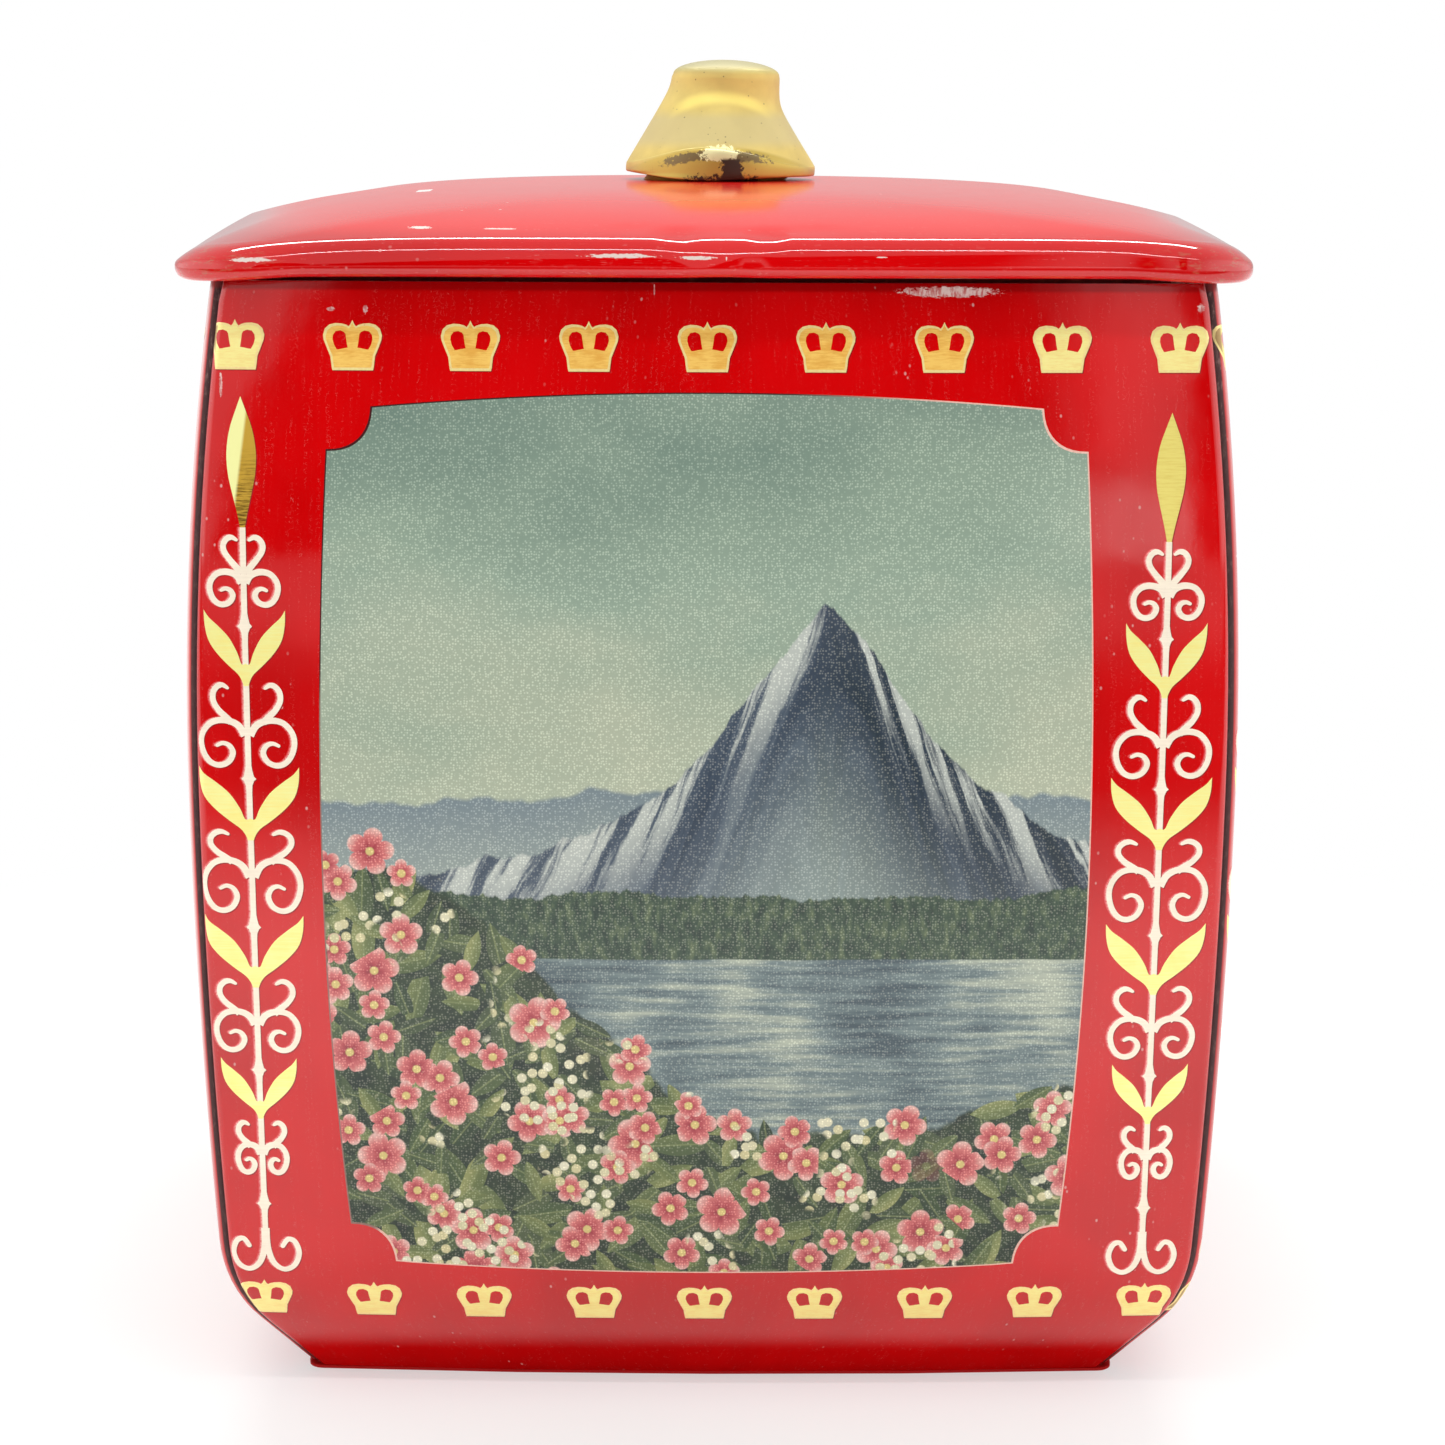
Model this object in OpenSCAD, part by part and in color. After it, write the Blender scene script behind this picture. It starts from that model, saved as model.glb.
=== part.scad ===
// Square barrel-sided tin with a hinged, domed lid and a knob.
// Front faces -Y, origin at the middle of the base, millimetres.

/* [Body] */
// Height of the wall panels above the table
body_h = 113.5; // [90:0.5:140]
// Height at which the body is widest
waist_h = 64; // [45:0.5:75]
// Width across two facing panels at the waist
body_w = 104.8; // [90:0.2:125]
// How far the wall leans in from the waist to the mouth
mouth_lean = 3.3; // [0.5:0.1:7]
// Height at which the wall starts to turn in to the base
heel_h = 17; // [13:0.5:24]
// How far the wall leans in from the waist to the start of that turn
heel_lean = 1.2; // [0.4:0.1:5]
// Radius of the turn above the base
heel_r = 19.5; // [12:0.5:24]
// Slope of the tapered foot, in degrees from upright
foot_slope = 34; // [20:1:40]
// How far a panel swells between its two corners
panel_crown = 1.2; // [0.4:0.1:3]
// Thickness of the tinplate
sheet = 0.3; // [0.25:0.05:0.4]

/* [Corner seams] */
// Outer radius of a panel's rolled edge
edge_r = 0.8; // [0.6:0.05:1.4]
// Depth of the seam behind the rolled edge
seam_w = 3.2; // [2:0.1:5]
// Depth of the seam where it is cut back at the mouth and the base
seam_relief = 0.5; // [0.4:0.05:1]
// How far each rolled edge is drawn back from its neighbour at the mouth
mouth_gape = 0.8; // [0.3:0.1:1.6]
// Height of that gape below the mouth
gape_h = 3; // [1.5:0.1:6]
// Room between two sheets that are folded together
fold_gap = 0.06; // [0.04:0.01:0.1]

/* [Base] */
// Width of the flat ring that the tin stands on
base_ring_w = 3.5; // [2.5:0.1:6]
// Height of the base above the table
base_recess = 2.2; // [1.2:0.1:4]
// Corner radius of the recess under the base
recess_r = 5; // [3:0.5:12]

/* [Neck] */
// Height of the collar above the wall panels
neck_h = 2.4; // [1.6:0.1:2.8]
// Width of the shelf between the wall panels and the collar
shelf_w = 2.9; // [2:0.1:4]
// Depth of the collar's skirt below its shelf
neck_skirt_h = 3; // [2:0.1:5]
// Corner radius of the collar's skirt
neck_corner_r = 12; // [11:0.5:18]
// Diameter of the hem round the collar's top edge
neck_hem_d = 0.9; // [0.7:0.05:1.4]

/* [Lid] */
// How far the rim stands out past the waist of the body
lid_over = 0.5; // [0.4:0.1:4]
// Radius of the roll from the dome down to the rim
roll_r = 2.8; // [1.6:0.1:4]
// Radius of the curl under the rim
curl_r = 1.05; // [0.8:0.05:1.6]
// Gap between the wall panels and the rim
lid_gap = 0.6; // [0.4:0.05:1]
// Rise of the dome above the roll
dome_rise = 3.8; // [2.6:0.1:8]
// Corner radius of the rim
rim_corner_r = 9; // [6:0.5:18]
// How far each side of the rim swells between its corners
rim_crown = 2.2; // [0.4:0.1:2.6]
// How far the rim droops towards its corners
rim_droop = 0.5; // [0:0.05:0.6]
// How much further the roll droops there
roll_droop = 2.2; // [0:0.1:2.4]
// Width of the thumb lift in the front of the rim
thumb_w = 10; // [6:0.5:18]
// How far the thumb lift stands out of the rim
thumb_out = 0.6; // [0.3:0.05:1.2]

/* [Knob] */
// Height of the knob
knob_h = 12.8; // [11:0.1:20]
// Diameter of the knob's skirt
knob_d = 20.8; // [18:0.2:28]
// Diameter of the knob's cap
knob_cap_d = 11.8; // [8:0.1:15]
// Height of the cap's upright side
knob_cap_h = 2.5; // [1:0.1:4]
// Height of the cap's round top
knob_top_h = 1.6; // [0.8:0.1:3]
// Diameter of the foot under the skirt
knob_foot_d = 15.6; // [12:0.2:17]
// Height of that foot
knob_foot_h = 0.6; // [0.4:0.1:1.4]
// Depth of the skirt's lip at its two sides
knob_lip = 1.1; // [0.6:0.1:1.8]
// Depth of the lip in front and behind, where finger and thumb hold it
knob_grip = 3.5; // [2:0.1:4.5]
// Diameter of the knob's screw
screw_d = 3.5; // [2.5:0.1:5]
// How far the screw reaches into the knob
screw_reach = 6; // [4:0.1:7]
// Diameter of the screw's head
screw_head_d = 7; // [5.5:0.1:9]
// Height of the screw's head
screw_head_h = 2; // [1.2:0.1:3]
// Diameter of the washer
washer_d = 11; // [9.5:0.2:15]
// Thickness of the washer
washer_t = 0.6; // [0.4:0.1:1.2]

/* [Hinge] */
// Length of the hinge
hinge_l = 36; // [24:0.5:60]
// Length of the lid's knuckle in the middle of the hinge
lid_knuckle_l = 12; // [8:0.5:20]
// Diameter of the knuckles
knuckle_d = 3; // [2.6:0.1:3.4]
// Diameter of the wire pin
pin_d = 1.4; // [1:0.1:1.8]
// Diameter of the pin's upset ends
pin_head_d = 2.2; // [2:0.1:2.6]
// Height of the leaf on the back panel
body_leaf_h = 10; // [6:0.5:16]
// Length of the tab that holds the strap under the dome
tab_l = 4; // [2:0.5:10]
// Thickness of the hinge leaves
leaf_t = 0.4; // [0.3:0.05:0.6]

/* [Clearances] */
// Room round the pin in its knuckles, on the radius
pin_fit = 0.05; // [0.03:0.01:0.1]
// Room between moving hinge pieces and what they pass
hinge_gap = 0.3; // [0.25:0.05:0.6]
// Room round a piece that drops into another
drop_gap = 0.1; // [0.05:0.01:0.3]
// Room between pieces that are soldered together
seat_gap = 0.02; // [0.01:0.01:0.05]

/* [Hidden] */
$fn = 64;

red = [0.78, 0.02, 0.03];
tin = [0.78, 0.77, 0.74];
gold = [0.85, 0.67, 0.30];
steel = [0.60, 0.60, 0.60];

// Wall profile: half the width across the panels at a height z.
// Two barrel arcs meet at the waist, then a turn leads into the straight foot.
function arc_radius(rise, drop) = (rise * rise + drop * drop) / (2 * drop);
upper_r = arc_radius(body_h - waist_h, mouth_lean);
lower_r = arc_radius(waist_h - heel_h, heel_lean);
heel_a = asin((waist_h - heel_h) / lower_r);
heel_in = body_w / 2 - heel_lean - heel_r * cos(heel_a);
heel_z = heel_h + heel_r * sin(heel_a);
foot_z = heel_z - heel_r * sin(foot_slope);
foot_half = heel_in + heel_r * cos(foot_slope);
function barrel(r, z) = body_w / 2 - r + sqrt(r * r - pow(z - waist_h, 2));
function face_at(z) =
    z >= waist_h ? barrel(upper_r, z) :
    z >= heel_h ? barrel(lower_r, z) :
    z >= foot_z ? heel_in + heel_r * cos(asin((heel_z - z) / heel_r)) :
    foot_half - (foot_z - z) * tan(foot_slope);
// Slope of the wall at a height z, and the sheet's thickness measured level
function slope_at(z) =
    z >= waist_h ? asin((z - waist_h) / upper_r) :
    z >= heel_h ? asin((waist_h - z) / lower_r) :
    z >= foot_z ? asin((heel_z - z) / heel_r) :
    foot_slope;
function level_sheet(z) = sheet / cos(slope_at(z));

// Heights of a panel's rows, close together where the wall bends
panel_z0 = sheet + seat_gap;
function steps(from, to, count) = [for (i = [1:count]) from + (to - from) * i / count];
gape_z = body_h - gape_h;
panel_rows = concat([panel_z0], steps(panel_z0, foot_z, 2), steps(foot_z, heel_h, 4),
    steps(heel_h, waist_h, 4), steps(waist_h, gape_z, 6), [body_h]);

// A rolled edge turns from the face to the mitre plane between two panels
roll_turn = 135;
roll_steps = 4;
face_steps = 4;
hook_steps = 4;
half_fold = fold_gap / 2;
hook_r = (sheet + 4 * half_fold) / 2;
// The hook reaches past the seam inside it by this much
hook_more = 0.4;
// The seam is cut back over this much of the wall at the mouth and above the base
relief_more = 4;
relief_top = neck_skirt_h + relief_more;
relief_low = heel_h;
relief_run = 2;
function ramp(v) = max(0, min(1, v));
function seam_at(z) = seam_relief + (seam_w - seam_relief)
    * ramp((body_h - relief_top - z) / relief_run) * ramp((z - relief_low) / relief_run);

into_seam = [-sqrt(0.5), -sqrt(0.5)];
across_seam = [sqrt(0.5), -sqrt(0.5)];
// One half of a panel's section at height z, from its middle to its seam: [point, outward normal]
function gape_at(z) = mouth_gape * ramp((z - gape_z) / gape_h);
function edge_centre(z) = let (depth = face_at(z) - panel_crown - edge_r)
    [depth - sqrt(2) * (edge_r + half_fold) - gape_at(z), depth];
function face_half(z) = let (side = edge_centre(z)[0])
    [for (i = [0:face_steps - 1]) let (share = i / face_steps)
        [[side * share, face_at(z) - panel_crown * share * share], [0, 1]]];
function roll_half(z) = let (mid = edge_centre(z))
    [for (i = [0:roll_steps]) let (a = roll_turn * i / roll_steps, n = [sin(a), cos(a)])
        [mid + edge_r * n, n]];
function seam_start(z) = edge_centre(z) + edge_r * across_seam;
function plain_seam(z) = [[seam_start(z) + seam_at(z) * into_seam, across_seam]];
// The hooked seam is folded round the plain one of the next panel
function hooked_seam(z) = let (
        turn = seam_start(z) + (seam_at(z) + hook_more) * into_seam + hook_r * across_seam,
        back = max(seam_at(z) - hook_more, sheet / 2))
    concat(
        [for (i = [0:hook_steps]) let (a = 180 * i / hook_steps,
                way = -cos(a) * across_seam + sin(a) * into_seam)
            [turn + hook_r * way, -way]],
        [[turn + hook_r * across_seam - back * into_seam, -across_seam]]);
function half_section(z, hooked) =
    concat(face_half(z), roll_half(z), hooked ? hooked_seam(z) : plain_seam(z));
function mirrored(half) = [for (i = [len(half) - 1:-1:1]) [for (v = half[i]) [-v[0], v[1]]]];
function section(z, hooked) = let (half = half_section(z, hooked)) concat(mirrored(half), half);
// A closed ring round the sheet: its outer side one way, its inner side back
function sheet_ring(z, hooked) = let (line = section(z, hooked), t = level_sheet(z), n = len(line))
    concat(
        [for (p = line) [p[0][0], -p[0][1], z]],
        [for (i = [n - 1:-1:0]) let (q = line[i][0] - t * line[i][1]) [q[0], -q[1], z]]);

// Faces between rings of n points, and across the sheet at an open end
function quad(a, b, c, d) = [[a, b, c], [a, c, d]];
function skin(rings, n, closed) = [for (r = [0:rings - (closed ? 1 : 2)], i = [0:n - 1],
        f = quad(r * n + i, ((r + 1) % rings) * n + i,
            ((r + 1) % rings) * n + (i + 1) % n, r * n + (i + 1) % n)) f];
function sheet_end(first, n, up) = [for (i = [0:n / 2 - 2], f = up
        ? quad(first + i, first + n - 1 - i, first + n - 2 - i, first + i + 1)
        : quad(first + i, first + i + 1, first + n - 2 - i, first + n - 1 - i)) f];

module panel(hooked) {
    rings = [for (z = panel_rows) sheet_ring(z, hooked)];
    n = len(rings[0]);
    last = (len(rings) - 1) * n;
    polyhedron([for (ring = rings, p = ring) p],
        concat(skin(len(rings), n, false), sheet_end(0, n, false), sheet_end(last, n, true)));
}

module front_panel() { color(red) panel(false); }
module right_panel() { color(red) rotate([0, 0, 90]) panel(true); }
module back_panel() { color(red) rotate([0, 0, 180]) panel(false); }
module left_panel() { color(red) rotate([0, 0, 270]) panel(true); }

// Cuts run past the faces that they open by this much
cut_over = 1;

// Square outline with swelling sides and round corners, points from the front middle round.
// places are the shares of a half side at which its points stand.
side_mid = 0.5;
side_places = [0, side_mid];
corner_steps = 5;
function side_slope(half, crown, r) = atan(2 * crown * (half - r) / (half * half));
function corner_centre(half, crown, r) =
    half - crown * pow((half - r) / half, 2) - r * cos(side_slope(half, crown, r));
function quarter(half, crown, r, places) = let (
        a = side_slope(half, crown, r),
        c = corner_centre(half, crown, r),
        reach = c + r * sin(a))
    concat(
        [for (k = [len(places) - 1:-1:1]) let (s = -reach * places[k])
            [s, -(half - crown * pow(s / half, 2))]],
        [for (k = places) let (s = reach * k) [s, -(half - crown * pow(s / half, 2))]],
        [for (i = [0:corner_steps]) let (t = a + (90 - 2 * a) * i / corner_steps)
            [c + r * sin(t), -(c + r * cos(t))]]);
function turned(p, a) = [p[0] * cos(a) - p[1] * sin(a), p[0] * sin(a) + p[1] * cos(a)];
function outline(half, crown, r, places = side_places) =
    [for (k = [0:3], p = quarter(half, crown, r, places)) turned(p, 90 * k)];

module slab(half, crown, r, z0, z1) {
    translate([0, 0, z0]) linear_extrude(z1 - z0) polygon(outline(half, crown, r));
}

// An upright wall of the given thickness, measured in from its outer face
module wall(half, crown, r, z0, z1, t) {
    difference() {
        slab(half, crown, r, z0, z1);
        slab(half - t, crown, r - t, z0 - cut_over, z1 + cut_over);
    }
}

base_half = face_at(panel_z0);
base_corner_r = 2 * edge_r;
recess_half = base_half - base_ring_w;
module base_pan() {
    color(tin) difference() {
        union() {
            slab(base_half, panel_crown, base_corner_r, 0, sheet);
            slab(recess_half + sheet, panel_crown, recess_r + sheet, 0, base_recess);
        }
        slab(recess_half, panel_crown, recess_r, -cut_over, base_recess - sheet);
    }
}

shelf_z = body_h - 3 * sheet;
skirt_half = face_at(body_h) - sheet / cos(slope_at(body_h)) - drop_gap;
neck_half = skirt_half - shelf_w;
neck_r = neck_corner_r - shelf_w;
neck_top = body_h + neck_h;
module neck_collar() {
    lap = sheet / 2;
    color(tin) union() {
        wall(skirt_half, panel_crown, neck_corner_r, shelf_z - neck_skirt_h, shelf_z, sheet);
        wall(skirt_half, panel_crown, neck_corner_r, shelf_z - sheet, shelf_z, shelf_w + lap);
        wall(neck_half, panel_crown, neck_r, shelf_z - sheet, neck_top, sheet);
        wall(neck_half, panel_crown, neck_r, neck_top - neck_hem_d, neck_top, neck_hem_d);
    }
}

// Lid: one closed profile of [half width, height] carried round its outline.
// A dome runs smoothly into a roll, which is widest at the rim and curls under it.
lid_half = body_w / 2 + lid_over;
rim_z = body_h + lid_gap + curl_r;
// Room round the screw in the lid and the washer, on the radius
screw_gap = 0.25;
screw_hole_r = screw_d / 2 + screw_gap;
dome_steps = 9;
lid_roll_steps = 4;
curl_steps = 4;
roll_from = 74.5;
curl_to = -115;
function roll_point(r, a) = [lid_half - roll_r + r * cos(a), rim_z + r * sin(a)];
function curl_point(r, a) = [lid_half - curl_r + r * cos(a), rim_z + r * sin(a)];
dome_half = roll_point(roll_r, roll_from)[0];
dome_edge_z = roll_point(roll_r, roll_from)[1];
// The dome's edge has the slope of the roll that it meets
dome_power = dome_half * tan(90 - roll_from) / dome_rise;
function dome_z(h) = dome_edge_z + dome_rise * (1 - pow(h / dome_half, dome_power));
function dome_h(i) = screw_hole_r + (dome_half - screw_hole_r) * sin(90 * i / dome_steps);
function dome_normal(h) = let (fall = dome_rise * dome_power / dome_half * pow(h / dome_half, dome_power - 1))
    [fall, 1] / norm([fall, 1]);
function roll(r) = [for (i = [0:lid_roll_steps]) roll_point(r, roll_from * (1 - i / lid_roll_steps))];
function curl(r) = [for (i = [1:curl_steps]) curl_point(r, curl_to * i / curl_steps)];
dome_line = [for (i = [0:dome_steps - 1]) let (h = dome_h(i)) [h, dome_z(h)]];
dome_under = [for (i = [0:dome_steps - 1])
    let (h = dome_h(i), q = [h, dome_z(h)] - sheet * dome_normal(h))
    [max(q[0], screw_hole_r), q[1]]];
lid_under = concat(dome_under, roll(roll_r - sheet));
function reversed(list) = [for (i = [len(list) - 1:-1:0]) list[i]];
lid_profile = concat(dome_line, roll(roll_r), curl(curl_r), reversed(curl(curl_r - sheet)), reversed(lid_under));
// The outline is square at the rim and opens into a circle round the knob
edge_corner_r = rim_corner_r - (lid_half - dome_half);
function lid_corner_r(h) = h > dome_half - 2 * sheet
    ? rim_corner_r - (lid_half - h)
    : h * (1 - (1 - edge_corner_r / dome_half) * pow(h / dome_half, 2));
function lid_crown(h) = rim_crown * pow(h / lid_half, 2);
thumb_steps = 3;
thumb_share = thumb_w / 2 / (lid_half - rim_corner_r);
thumb_places = concat([for (i = [0:thumb_steps]) thumb_share * i / thumb_steps], [side_mid]);
function thumb(p, z) = let (side = abs(p[0]) / (thumb_w / 2))
    side < 1 && p[1] < roll_r - lid_half
        ? thumb_out * ramp((dome_edge_z - z) / roll_r) * (1 + cos(180 * side)) / 2
        : 0;
// A higher droop_power keeps the droop closer to the corners
droop_power = 1.5;
function droop(p, z) = (rim_droop + roll_droop * ramp((z - rim_z) / roll_r))
    * pow(abs(p[0] * p[1]) / (lid_half * lid_half), droop_power);
function lid_ring(point) = let (h = point[0], z = point[1])
    [for (p = outline(h, lid_crown(h), lid_corner_r(h), thumb_places))
        [p[0], p[1] - thumb(p, z), z + thumb(p, z) / 2 - droop(p, z)]];

module lid_shell() {
    rings = [for (p = reversed(lid_profile)) lid_ring(p)];
    color(red) polyhedron([for (ring = rings, p = ring) p], skin(len(rings), len(rings[0]), true));
}

// Knob: a bell on a foot, with a round cap and a blind hole for its screw.
// Its lip is deep in front and behind and thin at its two sides.
knob_z = dome_z(screw_hole_r) + seat_gap;
cap_r = knob_cap_d / 2;
skirt_r = knob_d / 2;
cap_z = knob_h - knob_top_h - knob_cap_h;
lip_r = knob_lip / 2;
bell_power = 1.1;
bell_steps = 6;
lip_steps = 4;
cap_steps = 5;
knob_sides = 40;
hole_spare = 0.5;
knob_hole = screw_reach + hole_spare;
// A higher grip_power keeps the deep part of the lip closer to the front and the back
grip_power = 4;
function grip_share(a) = pow(abs(sin(a)), grip_power);
function lip_low(a) = knob_foot_h + (drop_gap - knob_foot_h) * grip_share(a);
function lip_top(a) = lip_low(a) + knob_lip + (knob_grip - knob_lip) * grip_share(a);
// Half section of the knob in the direction a: [radius, height] from the foot to the top
function knob_line(a) = let (low = lip_low(a), top = lip_top(a)) concat(
    [[knob_foot_d / 2, 0], [knob_foot_d / 2, knob_foot_h]],
    [for (i = [0:lip_steps]) let (t = -90 + 180 * i / lip_steps)
        [skirt_r - lip_r * (1 - cos(t)), (low + top) / 2 + (top - low) / 2 * sin(t)]],
    [for (i = [1:bell_steps]) let (share = i / bell_steps)
        [cap_r + (skirt_r - lip_r - cap_r) * pow(1 - share, bell_power), top + (cap_z - top) * share]],
    [for (i = [0:cap_steps - 1]) let (t = 90 * i / cap_steps)
        [cap_r * cos(t), cap_z + knob_cap_h + knob_top_h * sin(t)]]);
knob_rings = len(knob_line(0));
function knob_fan(first, centre, up) = [for (i = [0:knob_sides - 1])
    let (p = first + i, q = first + (i + 1) % knob_sides) up ? [p, centre, q] : [q, centre, p]];
module knob() {
    sections = [for (k = [0:knob_sides - 1]) knob_line(360 * k / knob_sides)];
    points = [for (i = [0:knob_rings - 1], k = [0:knob_sides - 1])
        let (a = 360 * k / knob_sides, p = sections[k][i]) [p[0] * cos(a), p[0] * sin(a), p[1]]];
    count = len(points);
    color(gold) translate([0, 0, knob_z]) difference() {
        polyhedron(concat(points, [[0, 0, 0], [0, 0, knob_h]]),
            concat(skin(knob_rings, knob_sides, false), knob_fan(0, count, false),
                knob_fan(count - knob_sides, count + 1, true)));
        translate([0, 0, -cut_over]) cylinder(d = screw_d, h = knob_hole + cut_over);
    }
}

washer_z = dome_z(washer_d / 2) - sheet - seat_gap - washer_t;
module knob_washer() {
    color(steel) translate([0, 0, washer_z]) difference() {
        cylinder(d = washer_d, h = washer_t);
        translate([0, 0, -cut_over]) cylinder(r = screw_hole_r, h = washer_t + 2 * cut_over);
    }
}

module knob_screw() {
    head_z = washer_z - seat_gap;
    slot_w = 1;
    slot_d = 1;
    color(steel) difference() {
        union() {
            translate([0, 0, head_z - screw_head_h]) cylinder(d = screw_head_d, h = screw_head_h);
            translate([0, 0, head_z]) cylinder(d = screw_d, h = knob_z + screw_reach - head_z);
        }
        translate([-screw_head_d, -slot_w / 2, head_z - screw_head_h - cut_over])
            cube([2 * screw_head_d, slot_w, slot_d + cut_over]);
    }
}

// Hinge: the barrel lies behind the back panel, under the lid's rear rim
knuckle_r = knuckle_d / 2;
hinge_z = body_h + lid_gap - hinge_gap - knuckle_r;
hinge_y = face_at(hinge_z - knuckle_r) + hinge_gap + knuckle_r;
// Room between the ends of two knuckles
end_gap = 0.15;
// A leaf runs into its knuckle by this much
leaf_bite = leaf_t / 4;
module knuckle(x0, x1) {
    translate([x0, hinge_y, hinge_z]) rotate([0, 90, 0]) cylinder(r = knuckle_r, h = x1 - x0);
}
module pin_bore() {
    translate([-hinge_l, hinge_y, hinge_z]) rotate([0, 90, 0])
        cylinder(r = pin_d / 2 + pin_fit, h = 2 * hinge_l);
}

// The leaf lies along the chord of the curved panel and stands off by the panel's swell
leaf_low_z = hinge_z - body_leaf_h;
leaf_low_y = face_at(leaf_low_z) + body_leaf_h * body_leaf_h / (8 * upper_r) + seat_gap;
leaf_top_y = hinge_y - knuckle_r + leaf_bite;
leaf_tilt = atan((leaf_low_y - leaf_top_y) / body_leaf_h);
module body_hinge_leaf() {
    knuckle_x = lid_knuckle_l / 2 + end_gap;
    color(steel) difference() {
        union() {
            for (side = [-1, 1])
                knuckle(side > 0 ? knuckle_x : -hinge_l / 2, side > 0 ? hinge_l / 2 : -knuckle_x);
            difference() {
                translate([-hinge_l / 2, leaf_low_y, leaf_low_z]) rotate([leaf_tilt, 0, 0])
                    cube([hinge_l, leaf_t, body_leaf_h / cos(leaf_tilt)]);
                translate([-knuckle_x, leaf_top_y - knuckle_r, hinge_z - knuckle_r - hinge_gap])
                    cube([2 * knuckle_x, knuckle_d, knuckle_d]);
            }
        }
        pin_bore();
    }
}

// The lid's strap rises from its knuckle and bends in under the dome, where it is soldered
strap_in = hinge_y - knuckle_r + leaf_bite;
strap_out = strap_in + leaf_t;
tab_in = strap_in - tab_l;
// Room for the solder between the tab and the lid
tab_gap = 0.15;
tab_out_z = lookup(strap_out, lid_under) - tab_gap;
tab_in_z = lookup(tab_in, lid_under) - tab_gap;
tab_drop = leaf_t * norm([strap_out - tab_in, tab_in_z - tab_out_z]) / (strap_out - tab_in);
module lid_hinge_leaf() {
    strap_half = lid_knuckle_l / 2 - end_gap;
    color(steel) difference() {
        union() {
            knuckle(-strap_half, strap_half);
            translate([-strap_half, 0, 0]) rotate([90, 0, 90]) linear_extrude(2 * strap_half)
                polygon([[strap_in, hinge_z], [strap_out, hinge_z], [strap_out, tab_out_z],
                    [tab_in, tab_in_z], [tab_in, tab_in_z - tab_drop], [strap_in, tab_out_z - tab_drop / 2]]);
        }
        pin_bore();
    }
}

module hinge_pin() {
    head_l = 0.6;
    color(steel) translate([-hinge_l / 2 - end_gap, hinge_y, hinge_z]) rotate([0, 90, 0]) union() {
        cylinder(d = pin_d, h = hinge_l + 2 * end_gap);
        translate([0, 0, -head_l]) cylinder(d = pin_head_d, h = head_l);
        translate([0, 0, hinge_l + 2 * end_gap]) cylinder(d = pin_head_d, h = head_l);
    }
}

front_panel();
right_panel();
back_panel();
left_panel();
base_pan();
neck_collar();
lid_shell();
knob();
knob_screw();
knob_washer();
body_hinge_leaf();
lid_hinge_leaf();
hinge_pin();
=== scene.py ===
"""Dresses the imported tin: printed panels, domed lid and gold knob on the CAD frame."""

from math import asin, atan, copysign, cos, hypot, pi, radians, sin, sqrt, tan

import bpy
from mathutils import Matrix, Vector
from mathutils.geometry import delaunay_2d_cdt


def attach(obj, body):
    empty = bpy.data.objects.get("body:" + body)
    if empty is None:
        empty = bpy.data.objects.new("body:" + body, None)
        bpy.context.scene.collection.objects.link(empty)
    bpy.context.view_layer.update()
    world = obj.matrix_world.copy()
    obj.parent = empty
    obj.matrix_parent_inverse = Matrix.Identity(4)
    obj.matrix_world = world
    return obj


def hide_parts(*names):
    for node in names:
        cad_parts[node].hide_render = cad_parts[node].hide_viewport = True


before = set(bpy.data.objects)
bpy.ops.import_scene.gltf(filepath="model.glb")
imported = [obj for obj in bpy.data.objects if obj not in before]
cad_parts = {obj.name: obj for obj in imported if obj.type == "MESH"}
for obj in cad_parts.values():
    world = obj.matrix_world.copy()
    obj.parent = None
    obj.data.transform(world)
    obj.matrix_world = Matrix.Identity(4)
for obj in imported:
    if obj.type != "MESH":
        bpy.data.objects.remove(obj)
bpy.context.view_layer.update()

MM = 0.001

# Sizes of the tin in millimetres, the same as in the part
BODY_H = 113.5
WAIST_H = 64.0
BODY_W = 104.8
MOUTH_LEAN = 3.3
HEEL_H = 17.0
HEEL_LEAN = 1.2
HEEL_R = 19.5
FOOT_SLOPE = radians(34)
PANEL_CROWN = 1.2
SHEET = 0.3
EDGE_R = 0.8
SEAM_W = 3.2
SEAM_RELIEF = 0.5
FOLD_GAP = 0.06
NECK_SKIRT_H = 3.0
LID_OVER = 0.5
ROLL_R = 2.8
CURL_R = 1.05
LID_GAP = 0.6
DOME_RISE = 3.8
RIM_CORNER_R = 9.0
RIM_CROWN = 2.2
RIM_DROOP = 0.5
ROLL_DROOP = 2.2
THUMB_W = 10.0
THUMB_OUT = 0.6
KNOB_H = 12.8
KNOB_D = 20.8
KNOB_CAP_H = 2.5
KNOB_TOP_H = 1.6
KNOB_FOOT_D = 15.6
KNOB_FOOT_H = 0.6
KNOB_LIP = 1.1
KNOB_GRIP = 3.5
SCREW_D = 3.5
SCREW_REACH = 6.0
DROP_GAP = 0.1
SEAT_GAP = 0.02


def arc_radius(rise, drop):
    return (rise * rise + drop * drop) / (2 * drop)


def ramp(value):
    return min(max(value, 0.0), 1.0)


# Wall of the body: half its width at a height, and how far it leans there
UPPER_R = arc_radius(BODY_H - WAIST_H, MOUTH_LEAN)
LOWER_R = arc_radius(WAIST_H - HEEL_H, HEEL_LEAN)
HEEL_TURN = asin((WAIST_H - HEEL_H) / LOWER_R)
HEEL_IN = BODY_W / 2 - HEEL_LEAN - HEEL_R * cos(HEEL_TURN)
HEEL_Z = HEEL_H + HEEL_R * sin(HEEL_TURN)
FOOT_Z = HEEL_Z - HEEL_R * sin(FOOT_SLOPE)
FOOT_HALF = HEEL_IN + HEEL_R * cos(FOOT_SLOPE)


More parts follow.
